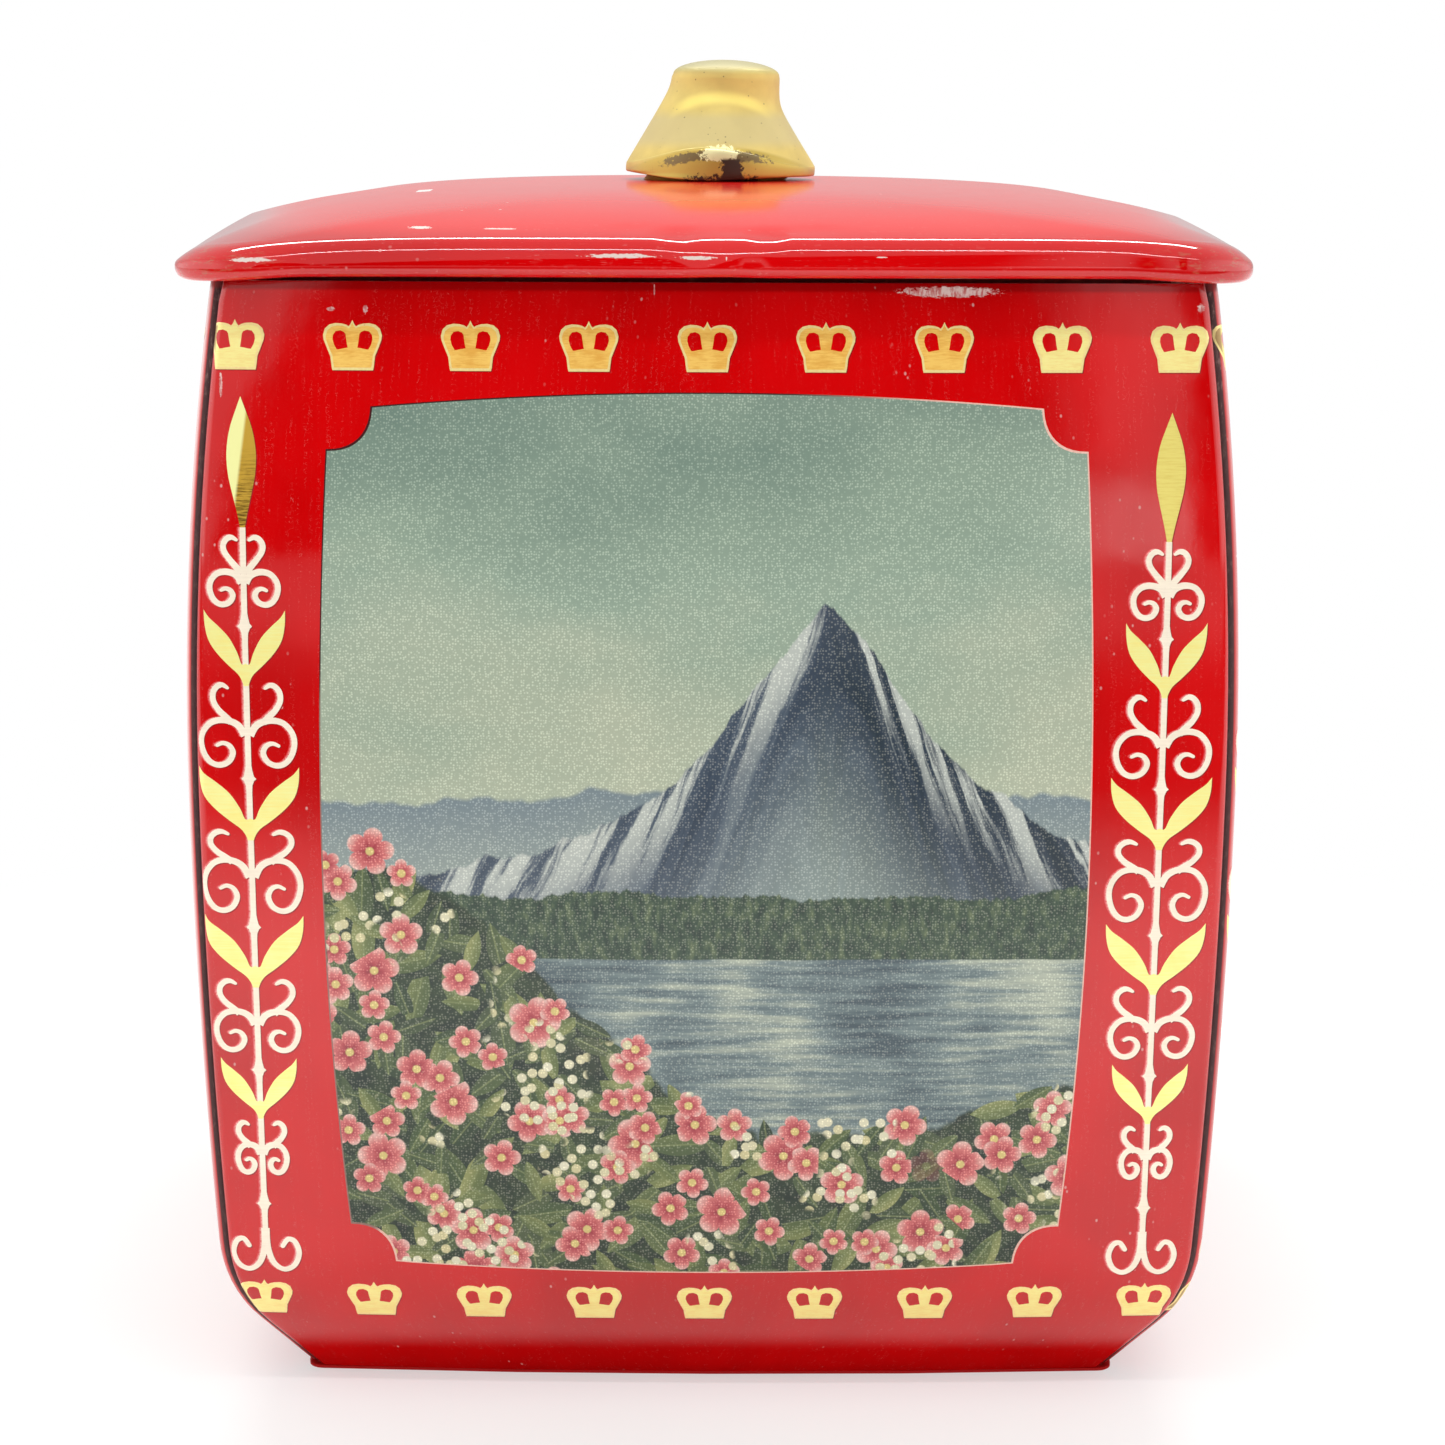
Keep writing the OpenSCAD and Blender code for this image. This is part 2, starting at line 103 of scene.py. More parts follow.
def wall_half(z):
    if z >= HEEL_H:
        bow = UPPER_R if z >= WAIST_H else LOWER_R
        return BODY_W / 2 - bow + sqrt(bow * bow - (z - WAIST_H) ** 2)
    if z >= FOOT_Z:
        return HEEL_IN + sqrt(HEEL_R ** 2 - (HEEL_Z - z) ** 2)
    return FOOT_HALF - (FOOT_Z - z) * tan(FOOT_SLOPE)


def wall_lean(z):
    if z >= HEEL_H:
        return asin((z - WAIST_H) / (UPPER_R if z >= WAIST_H else LOWER_R))
    return -asin((HEEL_Z - z) / HEEL_R) if z >= FOOT_Z else -FOOT_SLOPE


def up_sheet(z, rise):
    """The height reached by going a distance along the sheet from height z."""
    steps = 8
    for _ in range(steps):
        z += rise / steps * cos(wall_lean(z))
    return z


# The rolled edges gape a little less at the mouth than in the part
MOUTH_GAPE = 0.2
GAPE_H = 2.0

# A panel's sheet: u runs across its face and round its rolled edges, z is the height
ROLL_END = radians(135)
PANEL_Z0 = SHEET + SEAT_GAP
HALF_FOLD = FOLD_GAP / 2
HOOK_R = (SHEET + 4 * HALF_FOLD) / 2
HOOK_MORE = 0.4
RELIEF_TOP = NECK_SKIRT_H + 4.0
RELIEF_RUN = 2.0


def panel_side(z):
    gape = MOUTH_GAPE * ramp((z - BODY_H + GAPE_H) / GAPE_H)
    return wall_half(z) - PANEL_CROWN - EDGE_R - sqrt(2) * (EDGE_R + HALF_FOLD) - gape


def edge_tilt(z):
    return atan(2 * PANEL_CROWN / panel_side(z))


def sheet_reach(z):
    return panel_side(z) + EDGE_R * (ROLL_END - edge_tilt(z))


def edge_centre(z):
    tilt = edge_tilt(z)
    return panel_side(z) - EDGE_R * sin(tilt), wall_half(z) - PANEL_CROWN - EDGE_R * cos(tilt)


def sheet_point(u, z):
    """Where a place on the printed sheet lies on the front panel."""
    side = panel_side(z)
    over = abs(u) - side
    if over <= 0:
        return Vector((u, PANEL_CROWN * (u / side) ** 2 - wall_half(z), z))
    turn = edge_tilt(z) + over / EDGE_R
    across, depth = edge_centre(z)
    return Vector((copysign(across + EDGE_R * sin(turn), u), -depth - EDGE_R * cos(turn), z))


def sheet_normal(u, z):
    step = 0.02
    low = max(z - step, PANEL_Z0)
    along = sheet_point(u + step, z) - sheet_point(u - step, z)
    # Going up, a place keeps its distance from the rolled edge
    over = abs(u) - panel_side(z)

    def risen(height):
        if over <= 0:
            return sheet_point(u, height)
        return sheet_point(copysign(panel_side(height) + over, u), height)

    return along.cross(risen(z + step) - risen(low)).normalized()


def seam_depth(z):
    return SEAM_RELIEF + (SEAM_W - SEAM_RELIEF) * ramp(
        (BODY_H - RELIEF_TOP - z) / RELIEF_RUN) * ramp((z - HEEL_H) / RELIEF_RUN)


INTO_SEAM = Vector((-sqrt(0.5), -sqrt(0.5)))
ACROSS_SEAM = Vector((sqrt(0.5), -sqrt(0.5)))


def seam_section(z, hooked):
    """The seam behind the rolled edge, as places across and deep with their outward normals."""
    start = Vector(edge_centre(z)) + EDGE_R * ACROSS_SEAM
    depth = seam_depth(z)
    if not hooked:
        return [(start + depth * INTO_SEAM, ACROSS_SEAM)]
    turn = start + (depth + HOOK_MORE) * INTO_SEAM + HOOK_R * ACROSS_SEAM
    back = max(depth - HOOK_MORE, SHEET / 2)
    line = []
    steps = 6
    for i in range(steps + 1):
        a = pi * i / steps
        way = sin(a) * INTO_SEAM - cos(a) * ACROSS_SEAM
        line.append((turn + HOOK_R * way, -way))
    line.append((turn + HOOK_R * ACROSS_SEAM - back * INTO_SEAM, -ACROSS_SEAM))
    return line


class Sheetwork:
    """Points, normals, faces and finishes of one piece while it is built, in millimetres."""

    def __init__(self):
        self.points = []
        self.normals = []
        self.places = []
        self.faces = []
        self.finishes = []
        self.flat = []

    def point(self, at, normal, place=(0.0, 0.0, 0.0)):
        self.points.append(Vector(at))
        self.normals.append(Vector(normal))
        self.places.append(place)
        return len(self.points) - 1

    def face(self, corners, finish, flat=False):
        self.faces.append(corners)
        self.finishes.append(finish)
        self.flat.append(flat)

    def strip(self, lower, upper, finish, flat=False):
        """Faces between two rows of points."""
        for i in range(len(lower) - 1):
            self.face((lower[i], lower[i + 1], upper[i + 1], upper[i]), finish, flat)

    def make(self, name, materials, turn=0.0, crease=None):
        """The finished piece. With a crease angle its normals come from its faces, else from its points."""
        spin = Matrix.Rotation(turn, 3, "Z")
        mesh = bpy.data.meshes.new(name)
        mesh.from_pydata([spin @ p * MM for p in self.points], [], self.faces)
        order = list(materials)
        for finish in order:
            mesh.materials.append(materials[finish])
        mesh.polygons.foreach_set("material_index", [order.index(f) for f in self.finishes])
        mesh.polygons.foreach_set("use_smooth", [True] * len(self.faces))
        if crease is None:
            corner_normals = []
            for polygon, flat in zip(mesh.polygons, self.flat):
                for v in polygon.vertices:
                    corner_normals.append(polygon.normal.copy() if flat else spin @ self.normals[v])
            mesh.normals_split_custom_set(corner_normals)
        else:
            mesh.set_sharp_from_angle(angle=crease)
        places = mesh.attributes.new("sheet_place", "FLOAT_VECTOR", "POINT")
        places.data.foreach_set("vector", [value for place in self.places for value in place])
        piece = bpy.data.objects.new(name, mesh)
        bpy.context.scene.collection.objects.link(piece)
        return piece


# Print: outlines on the sheet as lists of places (u, z), each with its finish
PRINT_MID = -0.6
STROKE = 0.55
STEM_W = 0.56
LINE_SHIFT = Vector((0.1, -0.1))
HALO_SHIFTS = [Vector((-0.24, 0.05)), Vector((-0.12, 0.03))]


def smooth_line(points, steps=7):
    """A line that runs evenly through the points."""
    ends = [points[0]] + points + [points[-1]]
    line = []
    for a, b, c, d in zip(ends, ends[1:], ends[2:], ends[3:]):
        for i in range(steps):
            t = i / steps
            line.append(0.5 * (2 * b + (c - a) * t + (2 * a - 5 * b + 4 * c - d) * t * t
                               + (3 * b - a - 3 * c + d) * t ** 3))
    return line + [points[-1]]


def ribbon(points, width, start=1.0, tip=1.0):
    """Outline of a stroke through the points, with a round end."""
    line = smooth_line([Vector(p) for p in points])
    left, right = [], []
    last = len(line) - 1
    for i, p in enumerate(line):
        along = (line[min(i + 1, last)] - line[max(i - 1, 0)]).normalized()
        share = i / last
        # The width settles over the first third and tapers over the last fifth
        swell = start + (1 - start) * min(share * 3, 1) + (tip - 1) * max(share * 5 - 4, 0)
        out = Vector((-along.y, along.x)) * width / 2 * swell
        left.append(p + out)
        right.append(p - out)
    along = (line[-1] - line[-2]).normalized()
    cap = [line[-1] + Matrix.Rotation(-pi * k / 6, 2) @ Vector((-along.y, along.x)) * width / 2 * tip
           for k in range(1, 6)]
    return left + cap + right[::-1]


# Ornament shapes, across from the stem and up, as shares of a unit's own width and height
SPIRAL = [(0.06, 0.66), (0.17, 0.86), (0.345, 0.97), (0.575, 1.0), (0.79, 0.93), (0.95, 0.74), (1.0, 0.51),
          (0.94, 0.25), (0.80, 0.06), (0.61, 0.0), (0.42, 0.08), (0.325, 0.27), (0.39, 0.43), (0.53, 0.49),
          (0.66, 0.44)]
HOOK = [(0.48, -0.03), (0.66, 0.14), (0.85, 0.32), (0.99, 0.56), (0.985, 0.80), (0.86, 0.96), (0.71, 1.0),
        (0.56, 0.92)]
HEART_HOOK = [(0.1, 0.0), (0.38, 0.18), (0.68, 0.38), (0.94, 0.60), (0.985, 0.80), (0.80, 0.96), (0.56, 1.0),
              (0.32, 0.93)]
LEAF = [(0.0, 0.30), (0.10, 0.29), (0.20, 0.44), (0.40, 0.64), (0.66, 0.79), (0.88, 0.90), (1.0, 1.0),
        (0.985, 0.80), (0.90, 0.60), (0.70, 0.43), (0.42, 0.27), (0.20, 0.16), (0.10, 0.07), (0.06, 0.0)]
LEAF_TIP = 6
BUD = [(0.16, 0.0), (0.34, 0.106), (0.53, 0.20), (0.73, 0.30), (0.92, 0.41), (1.0, 0.55), (0.89, 0.68),
       (0.69, 0.78), (0.40, 0.875), (0.16, 0.95), (0.0, 1.0)]
ANCHOR = [(0.02, 1.35), (0.05, 0.72), (0.22, 0.22), (0.53, 0.0), (0.85, 0.16), (1.0, 0.56), (0.89, 0.92),
          (0.68, 1.0), (0.51, 0.78)]

# Heights of the scroll columns on the left of the panel
BUD_TIP_Z = 102.7
BUD_FOOT_Z = 90.3
BUD_HALF = 1.42
COLUMN_FOOT_Z = 14.4
ANCHOR_TOP_Z = 17.8
ANCHOR_HALF = 3.33
# Each unit: spiral half width, top and foot; hook half width and top; node; leaf half width, tip and foot.
# The last unit has no leaf.
SCROLL_UNITS = [
    (3.30, 86.05, 82.9, 1.92, 89.35, 80.8, 3.93, 82.4, 75.0),
    (4.54, 71.65, 67.2, 3.27, 75.1, 65.85, 4.92, 67.05, 59.7),
    (4.74, 57.7, 52.55, 3.97, 60.55, 50.85, 4.92, 52.1, 44.65),
    (4.08, 42.15, 38.1, 3.62, 45.3, 36.0, 3.78, 37.3, 30.85),
    (2.46, 28.05, 25.05, 2.30, 30.4, 21.65)]
NODE_HALF = 0.72
NODE_UP = 1.3
THIN = STEM_W / 2
NODE_SIDE = [(THIN, -NODE_UP), (THIN * 1.15, -NODE_UP * 0.5), (NODE_HALF * 0.7, -NODE_UP * 0.15),
             (NODE_HALF, 0), (NODE_HALF * 0.68, NODE_UP * 0.2), (THIN * 1.3, NODE_UP * 0.6), (THIN, NODE_UP)]
NODE = NODE_SIDE + [(-x, y) for x, y in reversed(NODE_SIDE)]


def scroll_column(axis, shrink):
    """One column of the scroll and leaf ornament. shrink draws its heights towards its foot."""
    def at(x, z):
        return Vector((axis + x, COLUMN_FOOT_Z + (z - COLUMN_FOOT_Z) * shrink))

    def fitted(shape, half, low, high, side):
        return [at(side * half * x, low + (high - low) * y) for x, y in shape]

    outlines = [("bare_scroll", [at(-THIN, ANCHOR_TOP_Z), at(THIN, ANCHOR_TOP_Z),
                                 at(THIN, BUD_FOOT_Z), at(-THIN, BUD_FOOT_Z)])]
    for number, unit in enumerate(SCROLL_UNITS):
        spiral_half, spiral_top, spiral_foot, hook_half, hook_top, node = unit[:6]
        for side in (-1, 1):
            outlines.append(("bare_scroll", ribbon(
                fitted(SPIRAL, spiral_half, spiral_foot, spiral_top, side), STROKE, 1.3, 0.6)))
            outlines.append(("bare_scroll", ribbon(
                fitted(HOOK if number else HEART_HOOK, hook_half, spiral_top - 0.1, hook_top, side),
                STROKE, 1.25, 0.55)))
        outlines.append(("bare_scroll", [at(x, node + y) for x, y in NODE]))
    for side in (-1, 1):
        outlines.append(("bare_scroll", ribbon(
            fitted(ANCHOR, ANCHOR_HALF, COLUMN_FOOT_Z, ANCHOR_TOP_Z, side), STROKE, 1.3, 0.85)))
    for unit in SCROLL_UNITS[:-1]:
        leaf_half, leaf_tip, leaf_foot = unit[6:]
        for side in (-1, 1):
            shape = fitted(LEAF, leaf_half, leaf_foot, leaf_tip, side)
            edges = smooth_line(shape[:LEAF_TIP + 1], 4) + smooth_line(shape[LEAF_TIP:], 4)[1:]
            outlines.append(("gold_print", edges + [at(0, leaf_foot)]))
    right = fitted(BUD, BUD_HALF, BUD_FOOT_Z, BUD_TIP_Z, 1)
    left = fitted(BUD, BUD_HALF, BUD_FOOT_Z, BUD_TIP_Z, -1)
    outlines.append(("gold_bud", smooth_line(right, 4) + smooth_line(left[::-1], 4)[1:]))
    return outlines


# Half of a crown from the middle of its base to its finial, and its right-hand opening
CROWN_SIDE = [(1.93, 0.0), (2.0, 0.3), (2.12, 1.3), (2.45, 2.1), (2.74, 2.85), (2.8, 3.3), (2.62, 3.9),
              (2.2, 4.28), (1.6, 4.42), (1.0, 4.38), (0.6, 4.27), (0.36, 4.12), (0.2, 4.3), (0.0, 4.72)]
CROWN_OPENING = [(0.46, 2.12), (0.55, 2.6), (0.66, 3.4), (0.8, 3.6), (1.15, 3.74), (1.6, 3.66), (1.86, 3.3),
                 (1.9, 2.9), (1.76, 2.4), (1.5, 1.95), (1.3, 1.96), (0.9, 2.05)]
CROWN_PITCH = 11.18
CROWNS_IN_ROW = 9
TOP_CROWN_Z = 105.2
FOOT_CROWN_Z = 8.75
CROWN_BORDER = 0.26
CROWN_HALF = 2.8
CROWN_MIDDLE = 2.3


def crown(mid, base_z):
    def at(x, y):
        return Vector((mid + x, up_sheet(base_z, y)))

    sides = CROWN_SIDE + [(-x, y) for x, y in reversed(CROWN_SIDE[:-1])]
    outlines = [("print_border", [at(x, y) for x, y in sides])]
    narrow, low = 1 - CROWN_BORDER / CROWN_HALF, 1 - CROWN_BORDER / CROWN_MIDDLE
    inner = [at(x * narrow, CROWN_MIDDLE + (y - CROWN_MIDDLE) * low) for x, y in sides]
    outlines.append(("gold_crown", inner))
    for side in (-1, 1):
        outlines.append(("lacquer", [at(side * x, y) for x, y in CROWN_OPENING]))
    return outlines


# Picture window: bowed edges with a hollow corner
WINDOW_TOP_Z = 101.85
WINDOW_TOP_BOW = 1.45
WINDOW_FOOT_Z = 15.6
WINDOW_FOOT_BOW = 1.0
WINDOW_HALF_TOP = 35.95
WINDOW_HALF_MID = 37.45
WINDOW_HALF_FOOT = 35.2
WINDOW_NOTCH = 4.05
NOTCH_POWER = 2.4
WINDOW_EDGE_W = 0.13
NOTCH_SPREAD = 0.4


def window(inset):
    """Outline of the picture window, drawn in by inset."""
    top, foot = WINDOW_TOP_Z - inset, WINDOW_FOOT_Z + inset
    mid_z = (top + foot) / 2
    notch = WINDOW_NOTCH + NOTCH_SPREAD * inset

    def half(z):
        share = (z - mid_z) / (top - mid_z)
        end = WINDOW_HALF_TOP if share > 0 else WINDOW_HALF_FOOT
        return WINDOW_HALF_MID - (WINDOW_HALF_MID - end) * share * share - inset

    def level(edge, bow, x):
        return edge + bow * (1 - (x / (WINDOW_HALF_TOP - notch)) ** 2)

    def corner(high):
        line = []
        steps = 10
        for k in range(steps + 1):
            a = pi / 2 * k / steps
            x = notch * max(cos(a), 0) ** (2 / NOTCH_POWER)
            y = notch * sin(a) ** (2 / NOTCH_POWER)
            z = top - y if high else foot + y
            line.append((half(z) - x, z))
        return line

    steps = 24
    across = WINDOW_HALF_TOP - notch - inset
    places = [across * (2 * k / steps - 1) for k in range(1, steps)]
    top_line = [(x, level(top, WINDOW_TOP_BOW, x)) for x in places]
    foot_line = [(-x, level(foot, -WINDOW_FOOT_BOW, x)) for x in places]
    heights = [top - notch + (foot - top + 2 * notch) * k / steps for k in range(1, steps)]
    right = [(half(z), z) for z in heights]
    right_side = corner(True) + right + corner(False)[::-1]
    left_side = [(-x, z) for x, z in reversed(right_side)]
    outline = top_line + right_side + foot_line + left_side
    return [Vector((PRINT_MID + x, z)) for x, z in outline]


COLUMN_LEFT = -44.9
COLUMN_RIGHT = 43.55
COLUMN_RIGHT_SHRINK = 0.986


def panel_print():
    """Every printed outline of a panel, the later ones on top."""
    outlines = scroll_column(COLUMN_LEFT, 1.0) + scroll_column(COLUMN_RIGHT, COLUMN_RIGHT_SHRINK)
    for k in range(CROWNS_IN_ROW):
        mid = PRINT_MID + CROWN_PITCH * (k - CROWNS_IN_ROW // 2)
        outlines += crown(mid, TOP_CROWN_Z) + crown(mid, FOOT_CROWN_Z)
    fringes = [(finish, [p + shift for p in outline])
               for finish, shift in zip(("halo_faint", "halo"), HALO_SHIFTS)
               for name, outline in outlines if name == "bare_scroll"]
    fringes += [("print_line", [p + LINE_SHIFT for p in outline]) for name, outline in outlines
                if name in ("bare_scroll", "gold_print", "gold_bud", "print_border")]
    return fringes + [("window_edge", window(0.0)), ("picture", window(WINDOW_EDGE_W))] + outlines


def winds_round(outline, at):
    """Whether a place lies inside an outline, which may cross itself."""
    turns = 0
    a = outline[-1]
    for b in outline:
        if (a.y <= at.y) != (b.y <= at.y):
            lean = (b.x - a.x) * (at.y - a.y) - (at.x - a.x) * (b.y - a.y)
            if b.y > a.y and lean > 0:
                turns += 1
            elif b.y <= a.y and lean < 0:
                turns -= 1
        a = b
    return turns != 0


# Rows up a panel and stations across it
def spread(start, end, count):
    return [start + (end - start) * k / count for k in range(1, count + 1)]


GAPE_Z = BODY_H - GAPE_H
PANEL_ROWS = ([PANEL_Z0] + spread(PANEL_Z0, FOOT_Z, 3) + spread(FOOT_Z, HEEL_H, 8)
              + spread(HEEL_H, WAIST_H, 13) + spread(WAIST_H, GAPE_Z, 13) + spread(GAPE_Z, BODY_H, 4))
FACE_STEPS = 16
ROLL_STEPS = 9
NEAREST_POINT = 0.12


def stations(z):
    """Places across the sheet at a height, from one seam to the other."""
    side, reach = panel_side(z), sheet_reach(z)
    half = [side * k / FACE_STEPS for k in range(FACE_STEPS)]
    half += [side + (reach - side) * k / ROLL_STEPS for k in range(ROLL_STEPS + 1)]
    return [-u for u in half[:0:-1]] + half


def printed_sheet():
    """The face of a panel cut along its print: places, triangles with finishes, and the edge's points."""
    outlines = panel_print()
    places, edges = [], []

    def close(first):
        count = len(places)
        edges.extend((i, i + 1 if i + 1 < count else first) for i in range(first, count))

    rows = [stations(z) for z in PANEL_ROWS]
    count = len(rows[0])
    last = len(rows) - 1
    border = [(0, j) for j in range(count)] + [(i, count - 1) for i in range(1, last)]
    border += [(last, j) for j in range(count - 1, -1, -1)] + [(i, 0) for i in range(last - 1, 0, -1)]
    rim = {}
    for i, j in border:
        rim[i, j] = len(places)
        places.append(Vector((rows[i][j], PANEL_ROWS[i])))
    close(0)
    edge_outline = places[:]
    taken = set()
    for _, outline in outlines:
        first = len(places)
        places.extend(outline)
        taken.update((round(p.x / NEAREST_POINT), round(p.y / NEAREST_POINT)) for p in outline)
        close(first)
    for j in range(1, count - 1):
        line = [rim[0, j]]
        for i in range(1, last):
            p = Vector((rows[i][j], PANEL_ROWS[i]))
            if (round(p.x / NEAREST_POINT), round(p.y / NEAREST_POINT)) not in taken:
                line.append(len(places))
                places.append(p)
        # No triangle may cut across the rolled edges
        if abs(j - count // 2) >= FACE_STEPS:
            line.append(rim[last, j])
            edges.extend(zip(line, line[1:]))
    found, _, triangles, origin, _, _ = delaunay_2d_cdt(places, edges, [], 0, 1e-6)
    now = {}
    for k, sources in enumerate(origin):
        for source in sources:
            now[source] = k
    rim = {key: now[k] for key, k in rim.items()}
    boxes = [(min(p.x for p in o), max(p.x for p in o), min(p.y for p in o), max(p.y for p in o), finish, o)
             for finish, o in reversed(outlines)]
    faces = []
    for a, b, c in triangles:
        mid = (found[a] + found[b] + found[c]) / 3
        if not winds_round(edge_outline, mid):
            continue
        finish = "lacquer"
        for x0, x1, z0, z1, name, outline in boxes:
            if x0 <= mid.x <= x1 and z0 <= mid.y <= z1 and winds_round(outline, mid):
                finish = name
                break
        faces.append(((a, b, c), finish))
    return found, faces, rim


def panel(name, hooked, turn, sheet, materials):
    """One wall panel: its printed face, its seams and its bare inside."""
    found, faces, rim = sheet
    work = Sheetwork()
    for p in found:
        work.point(sheet_point(p.x, p.y), sheet_normal(p.x, p.y), (p.x, p.y, abs(p.x) - panel_side(p.y)))
    for corners, finish in faces:
        work.face(corners, finish)
    count = len(stations(PANEL_Z0))
    last = len(PANEL_ROWS) - 1
    outer_rows, inner_rows = [], []
    for i, z in enumerate(PANEL_ROWS):
        thick = SHEET / cos(wall_lean(z))
        seam = seam_section(z, hooked)
        outer_seam, inner_seam = {}, {}
        for side in (-1, 1):
            outer_seam[side] = []
            inner_seam[side] = []
            for at, normal in seam:
                out = Vector((side * normal.x, -normal.y, 0))
                place = Vector((side * at.x, -at.y, z))
                outer_seam[side].append(work.point(place, out))
                inner_seam[side].append(work.point(place - thick * out, -out))
        inner_face = []
        for u in stations(z):
            over = abs(u) - panel_side(z)
            turned = edge_tilt(z) + over / EDGE_R if over > 0 else 0.0
            out = Vector((copysign(sin(turned), u), -cos(turned), 0))
            inner_face.append(work.point(sheet_point(u, z) - thick * out, -out))
        face_ends = [rim.get((i, 0)), rim.get((i, count - 1))]
        outer_rows.append((outer_seam[-1][::-1] + [face_ends[0]], [face_ends[1]] + outer_seam[1]))
        inner_rows.append(inner_seam[-1][::-1] + inner_face + inner_seam[1])
    for i in range(last):
        for side in (0, 1):
            work.strip(outer_rows[i][side], outer_rows[i + 1][side], "seam")
        work.strip(inner_rows[i + 1], inner_rows[i], "inside")
        for end, seam_end in ((0, outer_rows[i][0][0]), (-1, outer_rows[i][1][-1])):
            above = outer_rows[i + 1][0][0] if end == 0 else outer_rows[i + 1][1][-1]
            corners = (seam_end, above, inner_rows[i + 1][end], inner_rows[i][end])
            work.face(corners if end == 0 else corners[::-1], "inside", True)
    for i, up in ((0, False), (last, True)):
        outer = outer_rows[i][0] + [rim[i, j] for j in range(1, count - 1)] + outer_rows[i][1]
        work.strip(outer if up else inner_rows[i], inner_rows[i] if up else outer, "inside", True)
    return work.make(name, materials, turn)


# Lid: a dome that runs into a roll and a curl, round a square outline that opens into a circle at the knob
LID_HALF = BODY_W / 2 + LID_OVER
RIM_Z = BODY_H + LID_GAP + CURL_R
SCREW_GAP = 0.25
SCREW_HOLE_R = SCREW_D / 2 + SCREW_GAP
ROLL_FROM = radians(74.5)
CURL_TO = radians(-115)
DOME_HALF = LID_HALF - ROLL_R * (1 - cos(ROLL_FROM))
DOME_EDGE_Z = RIM_Z + ROLL_R * sin(ROLL_FROM)
DOME_POWER = DOME_HALF / tan(ROLL_FROM) / DOME_RISE
EDGE_CORNER_R = RIM_CORNER_R - (LID_HALF - DOME_HALF)
# The droop grows fast towards the lid's left and right sides and evenly towards its front and back
DROOP_LEFT = 5.0
DROOP_RIGHT = 8.0
RIGHT_SHARE = 0.85
DROOP_ALONG = 1.0
# The roll's own droop sets in over this height above the rim
DROOP_RUN = 1.5 * ROLL_R


def dome_z(h):
    return DOME_EDGE_Z + DOME_RISE * (1 - (h / DOME_HALF) ** DOME_POWER)


def lid_corner(h):
    if h > DOME_HALF - 2 * SHEET:
        return RIM_CORNER_R - (LID_HALF - h)
    return h * (1 - (1 - EDGE_CORNER_R / DOME_HALF) * (h / DOME_HALF) ** 2)


SIDE_STEPS = 60
CORNER_STEPS = 20
CREASE = radians(8.5)


def lid_outline(h):
    crown_here = RIM_CROWN * (h / LID_HALF) ** 2
    r = lid_corner(h)
    a = atan(2 * crown_here * (h - r) / (h * h))
    c = h - crown_here * ((h - r) / h) ** 2 - r * cos(a)
    reach = c + r * sin(a)
    side = []
    for k in range(SIDE_STEPS):
        s = reach * (2 * k / SIDE_STEPS - 1)
        side.append((s, -(h - crown_here * (s / h) ** 2)))
    for k in range(CORNER_STEPS):
        t = a + (pi / 2 - 2 * a) * k / CORNER_STEPS
        side.append((c + r * sin(t), -(c + r * cos(t))))
    line = []
    for k in range(4):
        ca, sa = round(cos(pi / 2 * k)), round(sin(pi / 2 * k))
        line += [Vector((x * ca - y * sa, x * sa + y * ca)) for x, y in side]
    return line


# Pressed dents along the lid's front roll: across, back from the rim, half width, half length and depth
LID_DENTS = [(-3.2, 2.0, 2.4, 4.0, 0.42), (5.0, 2.0, 2.2, 4.0, 0.46), (1.2, 3.6, 1.6, 2.0, 0.10),
             (-7.5, 4.2, 3.2, 2.6, 0.06), (9.6, 4.0, 3.6, 2.4, 0.07)]
THUMB_MID = 1.0
THUMB_UP = 0.2


def dent(p):
    depth = 0.0
    for x, y, wide, long, deep in LID_DENTS:
        near = hypot((p.x - x) / wide, (p.y + LID_HALF - y) / long)
        if near < 1:
            depth += deep * (1 - near * near) ** 2
    return depth


# The rim stands out and hangs lower at the corners
NOSE_OUT = 0.55
NOSE_DROP = 0.5
NOSE_FROM = 0.72
NOSE_RUN = 0.14
# Each fades out over a run that ends at a height above the rim
NOSE_OUT_TOP = 3.2
NOSE_OUT_RUN = 2.0
NOSE_DROP_TOP = 0.6
NOSE_DROP_RUN = 1.2


def nose(p):
    """How near a place on the lid's outline is to a corner."""
    return ramp((abs(p.x * p.y) / LID_HALF ** 2 - NOSE_FROM) / NOSE_RUN)


